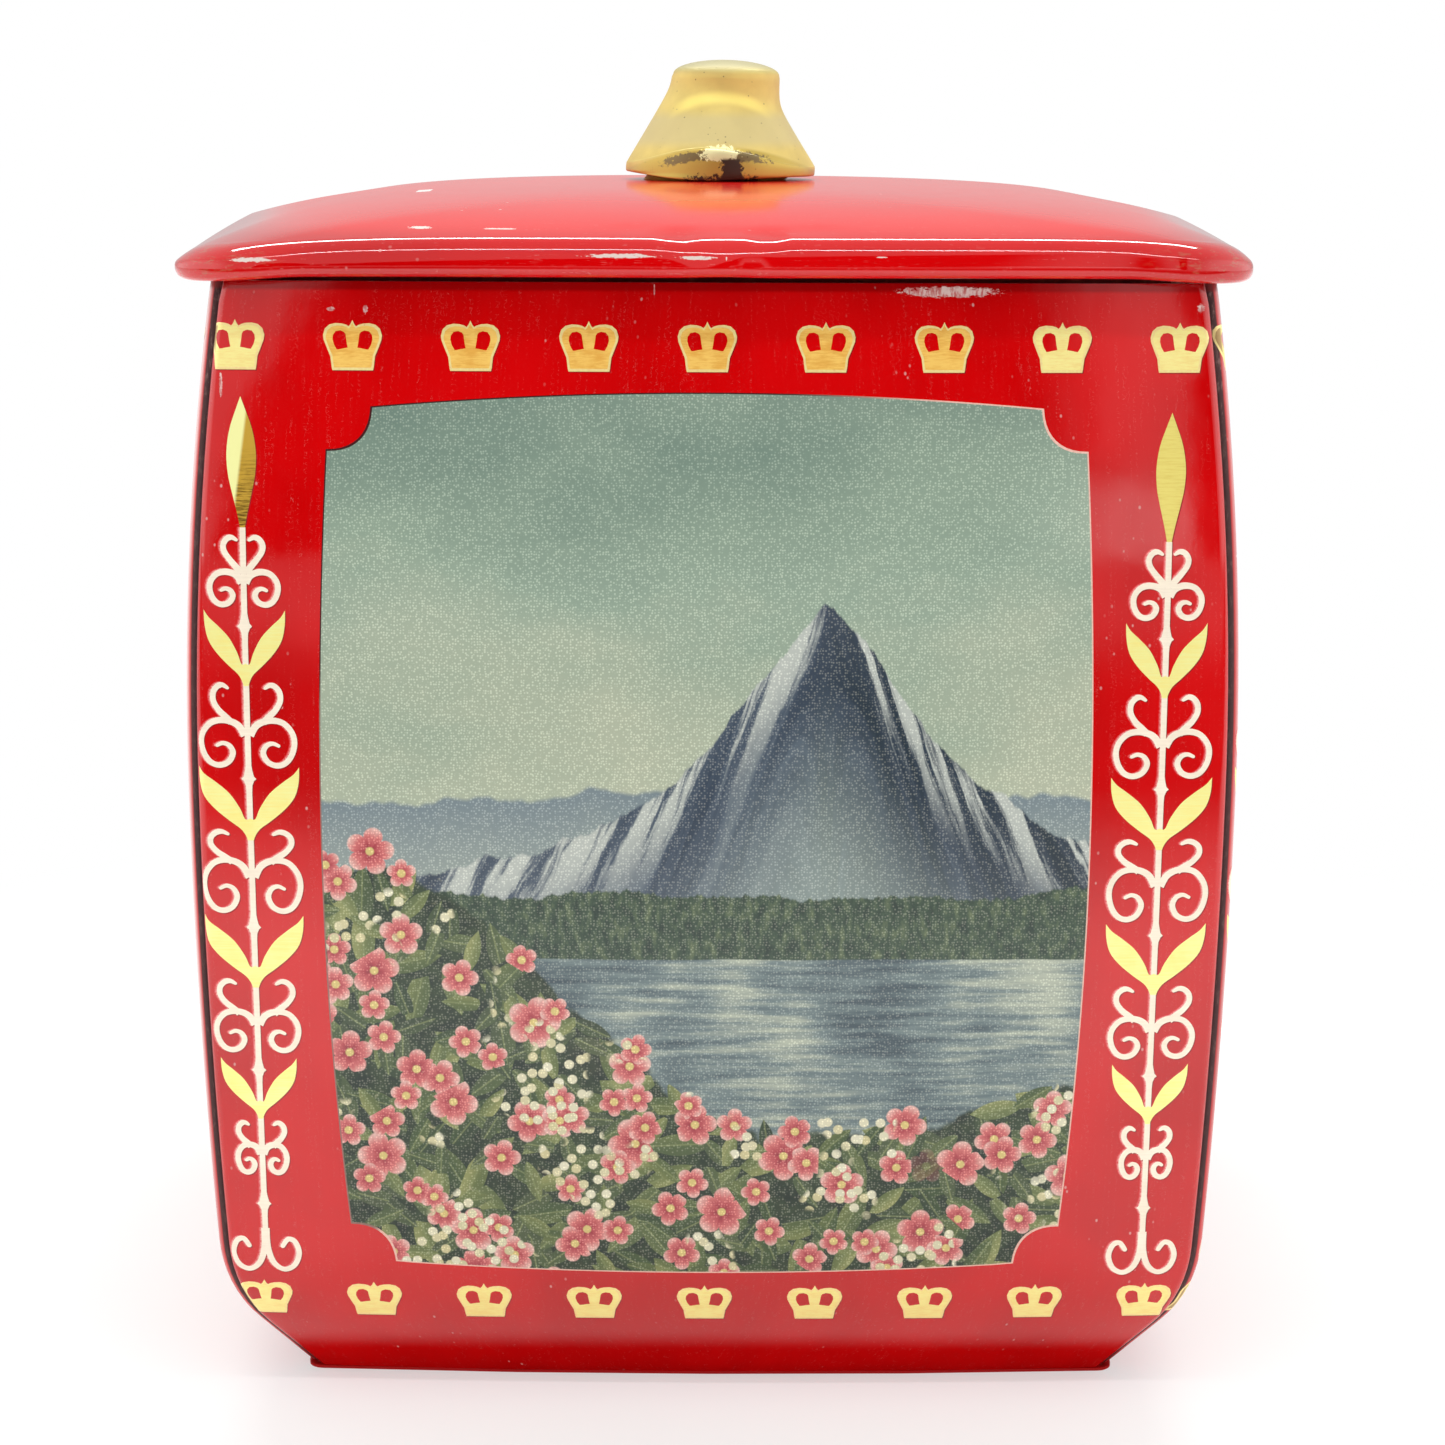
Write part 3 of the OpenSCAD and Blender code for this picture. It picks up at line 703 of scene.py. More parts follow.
def lid_shell(materials):
    outer, inner = [], []
    dome_steps, roll_steps, curl_steps = 56, 28, 20
    for k in range(dome_steps):
        h = SCREW_HOLE_R + (DOME_HALF - SCREW_HOLE_R) * sin(pi / 2 * k / dome_steps)
        fall = DOME_RISE * DOME_POWER / DOME_HALF * (h / DOME_HALF) ** (DOME_POWER - 1)
        length = hypot(fall, 1)
        outer.append((h, dome_z(h)))
        inner.append((max(h - SHEET * fall / length, SCREW_HOLE_R), dome_z(h) - SHEET / length))
    turns = [(ROLL_R, ROLL_FROM * (1 - k / roll_steps)) for k in range(roll_steps + 1)]
    turns += [(CURL_R, CURL_TO * k / curl_steps) for k in range(1, curl_steps + 1)]
    for r, a in turns:
        for line, reach in ((outer, r), (inner, r - SHEET)):
            line.append((LID_HALF - r + reach * cos(a), RIM_Z + reach * sin(a)))
    work = Sheetwork()

    def ring(h, z):
        line = []
        high = ramp((z - RIM_Z) / DROOP_RUN)
        droop = RIM_DROOP + ROLL_DROOP * (1 - (1 - high) ** 2)
        for p in lid_outline(h):
            side = abs(p.x - THUMB_MID) / (THUMB_W / 2)
            lift = 0.0
            if side < 1 and p.y < ROLL_R - LID_HALF:
                lift = THUMB_OUT * ramp((DOME_EDGE_Z - z) / ROLL_R) * (1 + cos(pi * side)) / 2
            across, share = (DROOP_RIGHT, RIGHT_SHARE) if p.x > 0 else (DROOP_LEFT, 1.0)
            down = share * droop * (abs(p.x) / LID_HALF) ** across * (abs(p.y) / LID_HALF) ** DROOP_ALONG
            down += high * dent(p) + NOSE_DROP * nose(p) * ramp((RIM_Z + NOSE_DROP_TOP - z) / NOSE_DROP_RUN)
            out = 1 + NOSE_OUT / LID_HALF * nose(p) * ramp((RIM_Z + NOSE_OUT_TOP - z) / NOSE_OUT_RUN)
            line.append(work.point((p.x * out, p.y * out - lift, z + THUMB_UP * lift - down), (0, 0, 1)))
        return line + line[:1]

    outer_rings = [ring(*p) for p in outer]
    inner_rings = [ring(*p) for p in inner]
    for a, b in zip(outer_rings, outer_rings[1:]):
        work.strip(b, a, "lid_lacquer")
    for a, b in zip(inner_rings, inner_rings[1:]):
        work.strip(a, b, "inside")
    work.strip(inner_rings[-1], outer_rings[-1], "inside")
    work.strip(outer_rings[0], inner_rings[0], "inside")
    return work.make("tin_lid", materials, crease=CREASE)


# Knob: a bell with a deep lip in front and behind, thin at its two sides
KNOB_Z = dome_z(SCREW_HOLE_R) + SEAT_GAP
# The cap is a little narrower than in the part
KNOB_CAP_D = 11.6
CAP_R = KNOB_CAP_D / 2
SKIRT_R = KNOB_D / 2
CAP_Z = KNOB_H - KNOB_TOP_H - KNOB_CAP_H
LIP_R = KNOB_LIP / 2
GRIP_POWER = 4
HOLE_MORE = 0.5
KNOB_HOLE = SCREW_REACH + HOLE_MORE
KNOB_CREASE = radians(32)
# The flare runs into the cap over this much, and starts higher on the left than on the right
NECK_ROUND = 1.1
FLARE_RISE = 0.3
FLARE_LEAN = 0.95
# The lip is boxy below, where it stands nearly upright, and round above
LIP_BOXY = 0.4
LIP_ROUND = 0.9
LIP_SIDE = 0.2
# The knob sits a little to the right on its foot and leans that way, and is turned a little to the left
KNOB_SHIFT = 0.6
KNOB_SWAY = 0.06
KNOB_LEAN = radians(1.3)
KNOB_TURN = radians(-7)


def knob_line(a):
    """Half section of the knob in one direction, from the screw hole round to the top."""
    grip = abs(sin(a)) ** GRIP_POWER
    low = KNOB_FOOT_H + (DROP_GAP - KNOB_FOOT_H) * grip
    top = low + KNOB_LIP + (KNOB_GRIP - KNOB_LIP) * grip
    inset = LIP_R * (LIP_SIDE + (1 - LIP_SIDE) * grip)
    hole_r, foot_r = SCREW_D / 2, KNOB_FOOT_D / 2
    line = [(hole_r, KNOB_HOLE), (hole_r, 0), (foot_r, 0), (foot_r, KNOB_FOOT_H)]
    lip_steps, bell_steps, cap_steps = 14, 30, 16
    for k in range(lip_steps + 1):
        t = pi * k / lip_steps - pi / 2
        bend = LIP_BOXY if t < 0 else LIP_ROUND
        across, up = max(cos(t), 0.0) ** bend, copysign(abs(sin(t)) ** bend, t)
        back = LIP_R if t < 0 else inset
        line.append((SKIRT_R - back * (1 - across), (low + top) / 2 + (top - low) / 2 * up))
    flare_z = CAP_Z + FLARE_RISE - FLARE_LEAN * cos(a)
    slope = (SKIRT_R - inset - CAP_R) / (flare_z - top)
    side_top = CAP_Z + KNOB_CAP_H
    for k in range(1, bell_steps):
        z = top + (side_top - top) * k / bell_steps
        below = flare_z - z
        line.append((CAP_R + slope * (below + sqrt(below * below + NECK_ROUND ** 2)) / 2, z))
    for k in range(cap_steps):
        t = pi / 2 * k / cap_steps
        line.append((CAP_R * cos(t), side_top + KNOB_TOP_H * sin(t)))
    return line


def leant(x, y, z):
    """A place on the knob once it leans, from its upright place above the lid."""
    free = ramp(z / KNOB_FOOT_H)
    return x + free * KNOB_SHIFT + KNOB_SWAY * z, y, KNOB_Z + z - free * tan(KNOB_LEAN) * x


def knob(materials):
    work = Sheetwork()
    sides = 112
    sections = [knob_line(2 * pi * k / sides) for k in range(sides)]
    rings = []
    for i in range(len(sections[0])):
        ring = []
        for k, section in enumerate(sections):
            a = 2 * pi * k / sides + KNOB_TURN
            r, z = section[i]
            ring.append(work.point(leant(r * cos(a), r * sin(a), z), (0, 0, 1)))
        rings.append(ring + ring[:1])
    for low, high in zip(rings, rings[1:]):
        work.strip(low, high, "gold_plate")
    top = work.point(leant(0, 0, KNOB_H), (0, 0, 1))
    hole_end = work.point(leant(0, 0, KNOB_HOLE), (0, 0, 1))
    for k in range(sides):
        work.face((rings[-1][k], rings[-1][k + 1], top), "gold_plate")
        work.face((rings[0][k + 1], rings[0][k], hole_end), "gold_plate")
    return work.make("lid_knob", materials, crease=KNOB_CREASE)


# Finishes
class Wire:
    """One value in a finish. Arithmetic on it adds the nodes that work it out."""

    def __init__(self, finish, socket):
        self.finish = finish
        self.socket = socket

    def maths(self, operation, *values):
        return self.finish.node("ShaderNodeMath", {"operation": operation}, dict(enumerate(values)))

    def __add__(self, other):
        return self.maths("ADD", self, other)

    __radd__ = __add__

    def __sub__(self, other):
        return self.maths("SUBTRACT", self, other)

    def __rsub__(self, other):
        return self.maths("SUBTRACT", other, self)

    def __mul__(self, other):
        return self.maths("MULTIPLY", self, other)

    __rmul__ = __mul__

    def __truediv__(self, other):
        return self.maths("DIVIDE", self, other)

    def __pow__(self, other):
        return self.maths("POWER", self, other)

    def __abs__(self):
        return self.maths("ABSOLUTE", self)

    def most(self, other):
        return self.maths("MAXIMUM", self, other)

    def rise(self, low, high):
        """0 up to low and 1 from high on, or the other way round where low is above high."""
        return self.finish.node("ShaderNodeMapRange", {"interpolation_type": "SMOOTHSTEP"},
                                {"Value": self, "From Min": low, "From Max": high})


class Finish:
    """A node tree that is built up from wires."""

    def __init__(self, tree):
        self.tree = tree

    def node(self, kind, settings=(), sockets=(), out=0):
        made = self.tree.nodes.new(kind)
        for key, value in dict(settings).items():
            if key == "stops":
                stops = made.color_ramp.elements
                while len(stops) < len(value):
                    stops.new(1.0)
                for stop, (place, colour) in zip(stops, value):
                    stop.position = place
                    stop.color = (*colour, 1.0)
            else:
                setattr(made, key, value)
        for key, value in dict(sockets).items():
            self.feed(made.inputs[key], value)
        return Wire(self, made.outputs[out])

    def feed(self, socket, value):
        if isinstance(value, Wire):
            self.tree.links.new(value.socket, socket)
        elif socket.type == "RGBA" and len(value) == 3:
            socket.default_value = (*value, 1.0)
        else:
            socket.default_value = value

    def blend(self, share, a, b):
        """Colour a where share is 0 and colour b where it is 1."""
        return self.node("ShaderNodeMix", {"data_type": "RGBA"}, {0: share, 6: a, 7: b}, out=2)

    def noise(self, place, scale, detail=2.0, rough=0.5):
        return self.node("ShaderNodeTexNoise", (),
                         {"Vector": place, "Scale": scale, "Detail": detail, "Roughness": rough})

    def cells(self, place, scale, random=1.0):
        return self.node("ShaderNodeTexVoronoi", (), {"Vector": place, "Scale": scale, "Randomness": random})

    def streaks(self, place, factors, detail, rough=0.5, turn=(0.0, 0.0, 0.0)):
        """Noise that is finer along the axes with larger factors."""
        scaled = self.node("ShaderNodeMapping", (), {"Vector": place, "Scale": factors, "Rotation": turn})
        return self.noise(scaled, 1.0, detail, rough)

    def spot(self, x, y=0.0):
        """A place from its numbers across and up."""
        return self.node("ShaderNodeCombineXYZ", (), {0: x, 1: y})

    def ray(self, kind):
        """1 for rays of one kind and 0 for others."""
        return self.node("ShaderNodeLightPath", out="Is " + kind + " Ray")

    def vectors(self, operation, a, b):
        return self.node("ShaderNodeVectorMath", {"operation": operation}, {0: a, 1: b})

    def scatter(self, place, spacing, shift):
        """The nearest of scattered spots: the way from it, turned its own way, its place and two shares."""
        moved = self.vectors("ADD", place, shift)
        spot, lot = [self.node("ShaderNodeTexVoronoi", {"voronoi_dimensions": "2D"},
                               {"Vector": moved, "Scale": 1 / spacing}, name)
                     for name in ("Position", "Color")]
        turn, share, other = self.parts(lot)
        x, y, _ = self.parts(self.vectors("SUBTRACT", moved, spot))
        at = self.parts(self.vectors("SUBTRACT", spot, shift))
        a = turn * (2 * pi)
        c, s = a.maths("COSINE", a), a.maths("SINE", a)
        return x * c + y * s, y * c - x * s, at[0], at[1], share, other

    def shades(self, share, *stops):
        """A run of colours, each given as its place in the run and its tone."""
        stops = [(at, tone(*colour)) for at, colour in stops]
        return self.node("ShaderNodeValToRGB", {"stops": stops}, {0: share})

    def sheet_place(self):
        """Place on the printed sheet in millimetres: across, up, and past the start of the rolled edge."""
        return self.node("ShaderNodeAttribute", {"attribute_name": "sheet_place"}, out=1)

    def object_place(self):
        """Place in the tin in millimetres."""
        own = self.node("ShaderNodeTexCoord", out=3)
        return self.node("ShaderNodeVectorMath", {"operation": "SCALE"}, {0: own, "Scale": 1 / MM})

    def parts(self, place):
        """The three numbers of a place."""
        split = self.tree.nodes.new("ShaderNodeSeparateXYZ")
        self.feed(split.inputs[0], place)
        return [Wire(self, split.outputs[k]) for k in range(3)]

    def bump(self, height, distance, strength=1.0):
        return self.node("ShaderNodeBump", (),
                         {"Height": height, "Distance": distance * MM, "Strength": strength})


def coated(name, build, **constants):
    """A material whose varying values build() returns by socket name. Its constants are set as they are."""
    material = bpy.data.materials.new(name)
    material.use_nodes = True
    finish = Finish(material.node_tree)
    shader = material.node_tree.nodes["Principled BSDF"]
    for key, value in constants.items():
        finish.feed(shader.inputs[key.replace("_", " ").title().replace("Ior", "IOR")], value)
    for key, value in build(finish).items():
        finish.feed(shader.inputs[key], value)
    return material


# Colours as linear light
def tone(red, green, blue):
    """A colour seen as 0 to 255, as linear light."""
    return tuple((v / 12.92 if v <= 0.04045 else ((v + 0.055) / 1.055) ** 2.4)
                 for v in (red / 255, green / 255, blue / 255))


LACQUER_IOR = 1.65
LACQUER_RED = tone(206, 3, 6)
LACQUER_DEEP = tone(186, 0, 2)
DOME_PAINTED_LIGHT = tone(240, 14, 8)
CHIP_PALE = tone(226, 196, 188)
GRIME = tone(74, 36, 36)
GRIME_PALE = tone(150, 112, 104)
SIDE_SHEEN_PINK = tone(238, 200, 198)
LID_SHADOW_RED = tone(140, 0, 2)
SCRAPED_RED = tone(196, 96, 92)
BARE_CHIP = tone(214, 196, 186)
WHITE_FLAKE = tone(250, 246, 240)
LID_SOIL = tone(172, 104, 78)
GOLD_PRINT = tone(255, 240, 140)
GOLD_PALE = tone(255, 251, 166)
BUD_PAINTED_GLARE = tone(255, 254, 174)
BUD_DEEP = tone(206, 164, 56)
BUD_DARK = tone(112, 82, 12)
BUD_EVEN = tone(240, 224, 122)
CROWN_DEEP = tone(238, 176, 72)
CROWN_PALE = tone(255, 208, 104)
CROWN_PAINTED_GLARE = tone(255, 244, 158)
CROWN_DULL = tone(150, 106, 70)
PRINT_BORDER = tone(252, 204, 140)
BARE_SCROLL = tone(255, 242, 220)
SCROLL_SHADE = tone(240, 226, 204)
PRINT_LINE = tone(84, 6, 14)
HALO = tone(238, 168, 160)
HALO_FAINT = tone(216, 84, 86)
BRIGHT_TIN = tone(214, 210, 200)
DULL_TIN = tone(176, 170, 158)
COLLAR_SHADED_RED = tone(122, 14, 12)
COLLAR_BARE = tone(150, 60, 48)
STEEL = tone(176, 175, 172)
GOLD_PLATE = tone(226, 206, 116)
GOLD_SHADE = tone(212, 192, 108)
GOLD_SKY_REFLECTION = tone(204, 194, 140)
GOLD_SHINE = tone(252, 238, 130)
GOLD_DULL = tone(174, 166, 122)
GOLD_LIP_PAINTED_SHADE = tone(196, 172, 82)
GOLD_GLEAM = tone(255, 254, 192)
ARC_DARK_REFLECTION = tone(126, 110, 70)
WORN_BRONZE = tone(62, 46, 34)


def wear(finish, place, base):
    """Adds the small pale specks and hair scratches of use to a colour."""
    cell = finish.cells(place, 0.55)
    pick = finish.noise(place, 0.09, 3.0)
    speck = cell.rise(0.13, 0.05) * pick.rise(0.52, 0.66)
    hair_a = finish.streaks(place, (0.05, 1.9, 1.9), 3.0, turn=(0.3, 0.2, 0.5))
    hair_b = finish.streaks(place, (1.9, 0.06, 1.9), 3.0, turn=(0.2, 0.1, 0.9))
    hair = abs(hair_a - 0.5).rise(0.008, 0.002) * hair_b.rise(0.5, 0.62)
    return finish.blend(hair * 0.14, finish.blend(speck * 0.5, base, CHIP_PALE), CHIP_PALE), speck


# Chips and scrapes on the front, each as its middle across and up, half its length and half its height
PANEL_CHIPS = [(22.2, 112.7, 4.4, 0.5), (46.1, 111.2, 0.35, 0.4), (-46.75, 103.7, 0.16, 1.1),
               (-5.6, 112.8, 0.07, 0.5), (-36.2, 110.9, 0.4, 0.2), (-32.9, 110.9, 0.2, 0.4)]
LID_CHIPS = [(-8.7, 116.16, 3.0, 0.2), (-1.6, 116.02, 1.6, 0.17), (-43.05, 115.62, 1.8, 0.2),
             (1.15, 116.0, 0.07, 0.2), (-27.7, 118.45, 1.1, 0.1), (-20.1, 118.4, 1.6, 0.05),
             (15.6, 116.1, 0.5, 0.06)]
# A pale flake on the lid's top, as its middle and half size across and deep
FLAKE_AT = (-30.1, -19.0)
FLAKE_HALF = (0.8, 1.8)
FLAKE_SOFT = 0.1
# Runs over which wear, dirt, painted sheen, painted shadow and painted light set in: depths of the front,
# heights, past the rolled edge, and towards the corners
PANEL_FRONT = (-40.0, -41.0)
LID_FRONT = (-44.0, -45.0)
SIDE_SHEEN_UP = (12.0, 45.0)
DIRTY_UP = (94.0, 108.0)
LID_SHADOW_UP = (112.5, 112.9)
SEAM_DIRT = (0.88, 1.04)
LID_CORNERS = (90.0, 98.0)
DOME_LIGHT_UP = (DOME_EDGE_Z - 0.6, DOME_EDGE_Z + 1.0)
DOME_DULL_UP = (DOME_EDGE_Z - 0.2, DOME_EDGE_Z + 1.6)


def chips(finish, place, across, up, spots):
    """How much of the lacquer is off, at ragged spots."""
    ragged = finish.streaks(place, (1.6, 1.6, 5.0), 5.0, 0.75)
    off = None
    for x, z, long, high in spots:
        near = ((across - x) / long) ** 2.0 + ((up - z) / high) ** 2.0
        here = (near + 5.0 * (ragged - 0.5)).rise(1.1, 0.75)
        off = here if off is None else off.most(here)
    return off


def lacquer_look(finish, place):
    cloud = finish.noise(place, 0.045, 3.0)
    base = finish.blend(cloud.rise(0.3, 0.75), LACQUER_RED, LACQUER_DEEP)
    worn, speck = wear(finish, place, base)
    wave = finish.noise(place, 0.16, 1.0) + 0.05 * finish.noise(place, 1.8, 2.0)
    return worn, speck, wave


def panel_lacquer(finish):
    place = finish.sheet_place()
    _, _, past = finish.parts(place)
    worn, speck, wave = lacquer_look(finish, place)
    at = finish.object_place()
    across, deep, up = finish.parts(at)
    chip = chips(finish, at, across, up, PANEL_CHIPS) * deep.rise(*PANEL_FRONT)
    grain = finish.streaks(at, (3.0, 3.0, 0.8), 5.0, 0.7)
    # The side panels' rolled edges are painted a pale pink sheen, a reflection that is stronger on the left
    # and higher up, and the seams hold dirt, most near the mouth
    side_sheen = (abs(across) - abs(deep)).rise(0.0, 0.3) * (0.45 + 0.5 * across.rise(10.0, -10.0))
    side_sheen = side_sheen * (0.3 + 0.7 * up.rise(*SIDE_SHEEN_UP))
    colour = finish.blend(side_sheen * past.rise(1.0, 0.4) * past.rise(0.0, 0.1), worn, SIDE_SHEEN_PINK)
    dirt = past.rise(*SEAM_DIRT)
    pale_dirt = grain.rise(0.5, 0.72) * (0.3 + 0.7 * up.rise(*DIRTY_UP))
    colour = finish.blend(dirt, colour, finish.blend(pale_dirt, GRIME, GRIME_PALE))
    # Painted shadow: the top of the panel, under the lid's rim, is painted a darker red
    colour = finish.blend(0.7 * up.rise(*LID_SHADOW_UP), colour, LID_SHADOW_RED)
    colour = finish.blend(chip, colour, finish.blend(grain.rise(0.4, 0.6), CHIP_PALE, SCRAPED_RED))
    flat = past.rise(0.3, -0.2)
    rough = 0.04 + 0.3 * speck + 0.4 * dirt + 0.3 * past.rise(0.5, 0.8) + 0.35 * chip
    return {"Base Color": colour, "Roughness": rough + 0.05 * finish.noise(place, 0.5, 3.0),
            "Normal": finish.bump(wave * flat - 0.3 * chip, 0.05, 0.35)}


def lid_lacquer(finish):
    place = finish.object_place()
    worn, speck, wave = lacquer_look(finish, place)
    across, deep, up = finish.parts(place)
    chip = chips(finish, place, across, up, LID_CHIPS) * deep.rise(*LID_FRONT)
    flake_across, flake_deep = [abs(way - at).rise(half, half - FLAKE_SOFT)
                                for way, at, half in zip((across, deep), FLAKE_AT, FLAKE_HALF)]
    corner = (abs(across) + abs(deep)).rise(*LID_CORNERS)
    soiled = finish.streaks(place, (0.7, 0.7, 2.5), 5.0, 0.7)
    # Painted light: the dome's top is painted a lighter red where light falls on it
    dome = up.rise(*DOME_LIGHT_UP) * (1 - speck)
    colour = finish.blend(0.6 * dome, worn, DOME_PAINTED_LIGHT)
    colour = finish.blend(corner * soiled.rise(0.52, 0.66) * 0.6, colour, LID_SOIL)
    colour = finish.blend(chip, colour, BARE_CHIP)
    colour = finish.blend(flake_across * flake_deep, colour, WHITE_FLAKE)
    rough = 0.03 + 0.12 * up.rise(*DOME_DULL_UP) + 0.3 * speck + 0.4 * chip
    return {"Base Color": colour, "Roughness": rough + 0.04 * finish.noise(place, 0.5, 3.0),
            "Normal": finish.bump(wave - 0.4 * chip, 0.05, 0.35)}


def brushed(pale, deep, relief):
    """A print look of fine brushed lines in two colours."""
    def look(finish):
        place = finish.sheet_place()
        lines = finish.streaks(place, (0.25, 5.0, 0.0), 4.0, 0.6)
        blotch = finish.noise(place, 0.35, 3.0)
        colour = finish.blend((lines * 0.7 + blotch * 0.5).rise(0.35, 0.85), pale, deep)
        return {"Base Color": colour, "Roughness": 0.24 + 0.2 * lines,
                "Normal": finish.bump(lines, 0.01, relief)}

    return look


def grained(colour, other, scale, detail, spread, rough, vary, place=Finish.sheet_place):
    """A look of two colours mixed by a fine grain, which also varies the roughness."""
    def look(finish):
        grain = finish.noise(place(finish), scale, detail)
        share = grain.rise(*spread) if spread else grain
        return {"Base Color": finish.blend(share, colour, other), "Roughness": rough + vary * grain}

    return look


def halo(colour):
    """Soft edge of the scrolls, in a given colour."""
    return grained(colour, LACQUER_RED, 5.0, 2.0, (0.35, 0.8), 0.08, 0.1)


# Crowns right and left of these places, and those of the foot row, are painted paler, a reflection of the
# bright surround and floor
GLARE_RIGHT = (27.0, 30.0)
GLARE_LEFT = (-39.0, -42.0)
FOOT_ROW = (30.0, 25.0)


def gold_crown(finish):
    """Gold worn into fine lines, and painted paler as a reflection on the crowns nearest the edges and in
    the foot row.
    """
    place = finish.sheet_place()
    across, up, past = finish.parts(place)
    fine = finish.streaks(place, (0.8, 6.5, 0.0), 4.0, 0.7)
    blotch = finish.streaks(place, (0.5, 0.9, 0.0), 4.0)
    worn = (0.65 * fine + 0.6 * blotch).rise(0.5, 0.78)
    colour = finish.blend(worn, CROWN_PALE, CROWN_DEEP)
    # Painted reflection: crowns outside the dark room's reflection are painted paler
    glare = across.rise(*GLARE_RIGHT).most(across.rise(*GLARE_LEFT)).most(up.rise(*FOOT_ROW))
    colour = finish.blend(glare * (0.95 - 0.25 * worn), colour, CROWN_PAINTED_GLARE)
    colour = finish.blend(past.rise(0.4, 0.75) * 0.8, colour, CROWN_DULL)
    return {"Base Color": colour, "Roughness": 0.26 + 0.25 * fine, "Normal": finish.bump(fine, 0.012, 0.3)}


# The left buds' line between the painted bright reflection and the deep half, and the heights of their dark
# lines
BUD_SPLIT_U = -45.1
BUD_SPLIT_Z = 96.0
BUD_SPLIT_LEAN = 0.14
BUD_LINES_UP = (98.5, 93.5)


def gold_bud(finish):
    """Left buds are painted half bright and half deep, as the bright surround and the dark room reflect in
    them, with dark lines low down; right buds are even.
    """
    place = finish.sheet_place()
    across, up, _ = finish.parts(place)
    lines = finish.streaks(place, (0.5, 5.5, 0.0), 4.0, 0.65)
    deep = finish.blend(lines.rise(0.42, 0.62) * up.rise(*BUD_LINES_UP), BUD_DEEP, BUD_DARK)
    # Painted reflection: the left half of the left buds is painted bright
    lit = (across - BUD_SPLIT_U - BUD_SPLIT_LEAN * (up - BUD_SPLIT_Z)).rise(0.18, -0.18)
    colour = finish.blend(lit, deep, BUD_PAINTED_GLARE)
    even = finish.blend(lines.rise(0.4, 0.7), BUD_EVEN, BUD_DEEP)
    colour = finish.blend(across.rise(-0.5, 0.5), colour, finish.blend(0.7, even, BUD_EVEN))
    return {"Base Color": colour, "Roughness": 0.14 + 0.16 * lines,
            "Normal": finish.bump(lines, 0.012, 0.25)}


EDGE_PALE = tone(244, 206, 190)
EDGE_TAN = tone(206, 150, 132)
EDGE_DARK = tone(66, 18, 22)
EDGE_SLANT = 0.6
EDGE_DARK_UP = (88.0, 100.0)
EDGE_DARK_LEFT = (-33.0, -34.0)


def window_edge(finish):
    """A thin line, dark along the top and the left and pale along the foot and the right."""
    place = finish.sheet_place()
    across, up, _ = finish.parts(place)
    grain = finish.noise(place, 4.0, 2.0)
    pale = finish.blend(grain, EDGE_PALE, EDGE_TAN)
    dark = (up - EDGE_SLANT * across).rise(*EDGE_DARK_UP).most(across.rise(*EDGE_DARK_LEFT) * 0.7)
    return {"Base Color": finish.blend(dark, pale, EDGE_DARK), "Roughness": 0.2 + 0.1 * grain}


def tin_look(finish):
    place = finish.object_place()
    rolled = finish.streaks(place, (0.12, 0.12, 3.0), 4.0)
    stain = finish.noise(place, 0.06, 4.0)
    colour = finish.blend(stain.rise(0.45, 0.8), BRIGHT_TIN, DULL_TIN)
    return {"Base Color": colour, "Roughness": 0.24 + 0.22 * rolled + 0.12 * stain,
            "Normal": finish.bump(rolled, 0.012, 0.3)}


PAN_EDGE = (40.9, 41.4)


def pan_look(finish):
    """Bare tin, with the lacquer drawn over its outer edge."""
    place = finish.object_place()
    across, deep, _ = finish.parts(place)
    look = tin_look(finish)
    edge = abs(across).most(abs(deep)).rise(*PAN_EDGE)
    look["Base Color"] = finish.blend(edge, look["Base Color"], LACQUER_DEEP)
    look["Metallic"] = 1 - edge
    return look


def steel_look(finish):
    place = finish.object_place()
    drawn = finish.streaks(place, (0.2, 6.0, 6.0), 3.0)
    return {"Base Color": finish.blend(drawn, STEEL, DULL_TIN), "Roughness": 0.28 + 0.2 * drawn,
            "Normal": finish.bump(drawn, 0.01, 0.3)}


# Marks on the knob, several of them painted reflections and highlights: heights above the lid, depths under
# the lip's crease, places aside, and their runs
CREASE_UP = 3.5
CREASE_BOW = 0.024
LIP_RUN = (-0.3, 0.1)
SHINE_UP = 8.8
SHINE_BOW = 0.055
SHINE_DEEP = (1.0, 0.1)
SHINE_ASIDE = (6.0, 3.0)
SKY_BAND_UP = 5.4
SKY_BAND_DEEP = (2.4, 0.9)
DULL_UP = (11.0, 12.3)
ARC_UNDER = 0.7
ARC_DEEP = (0.9, 0.1)
ARC_MID = -0.6
ARC_ASIDE = (7.5, 3.5)
GLEAM_UNDER = 0.55
GLEAM_HALF = (2.0, 0.85)
FOOT_WORN_UP = (1.5, 0.3)
FOOT_WORN_MID = 0.3
FOOT_WORN_ASIDE = (6.0, 3.0)
BLOT_MID = 1.3
BLOT_HALF = 1.2
BLOT_UP = (2.6, 2.2)


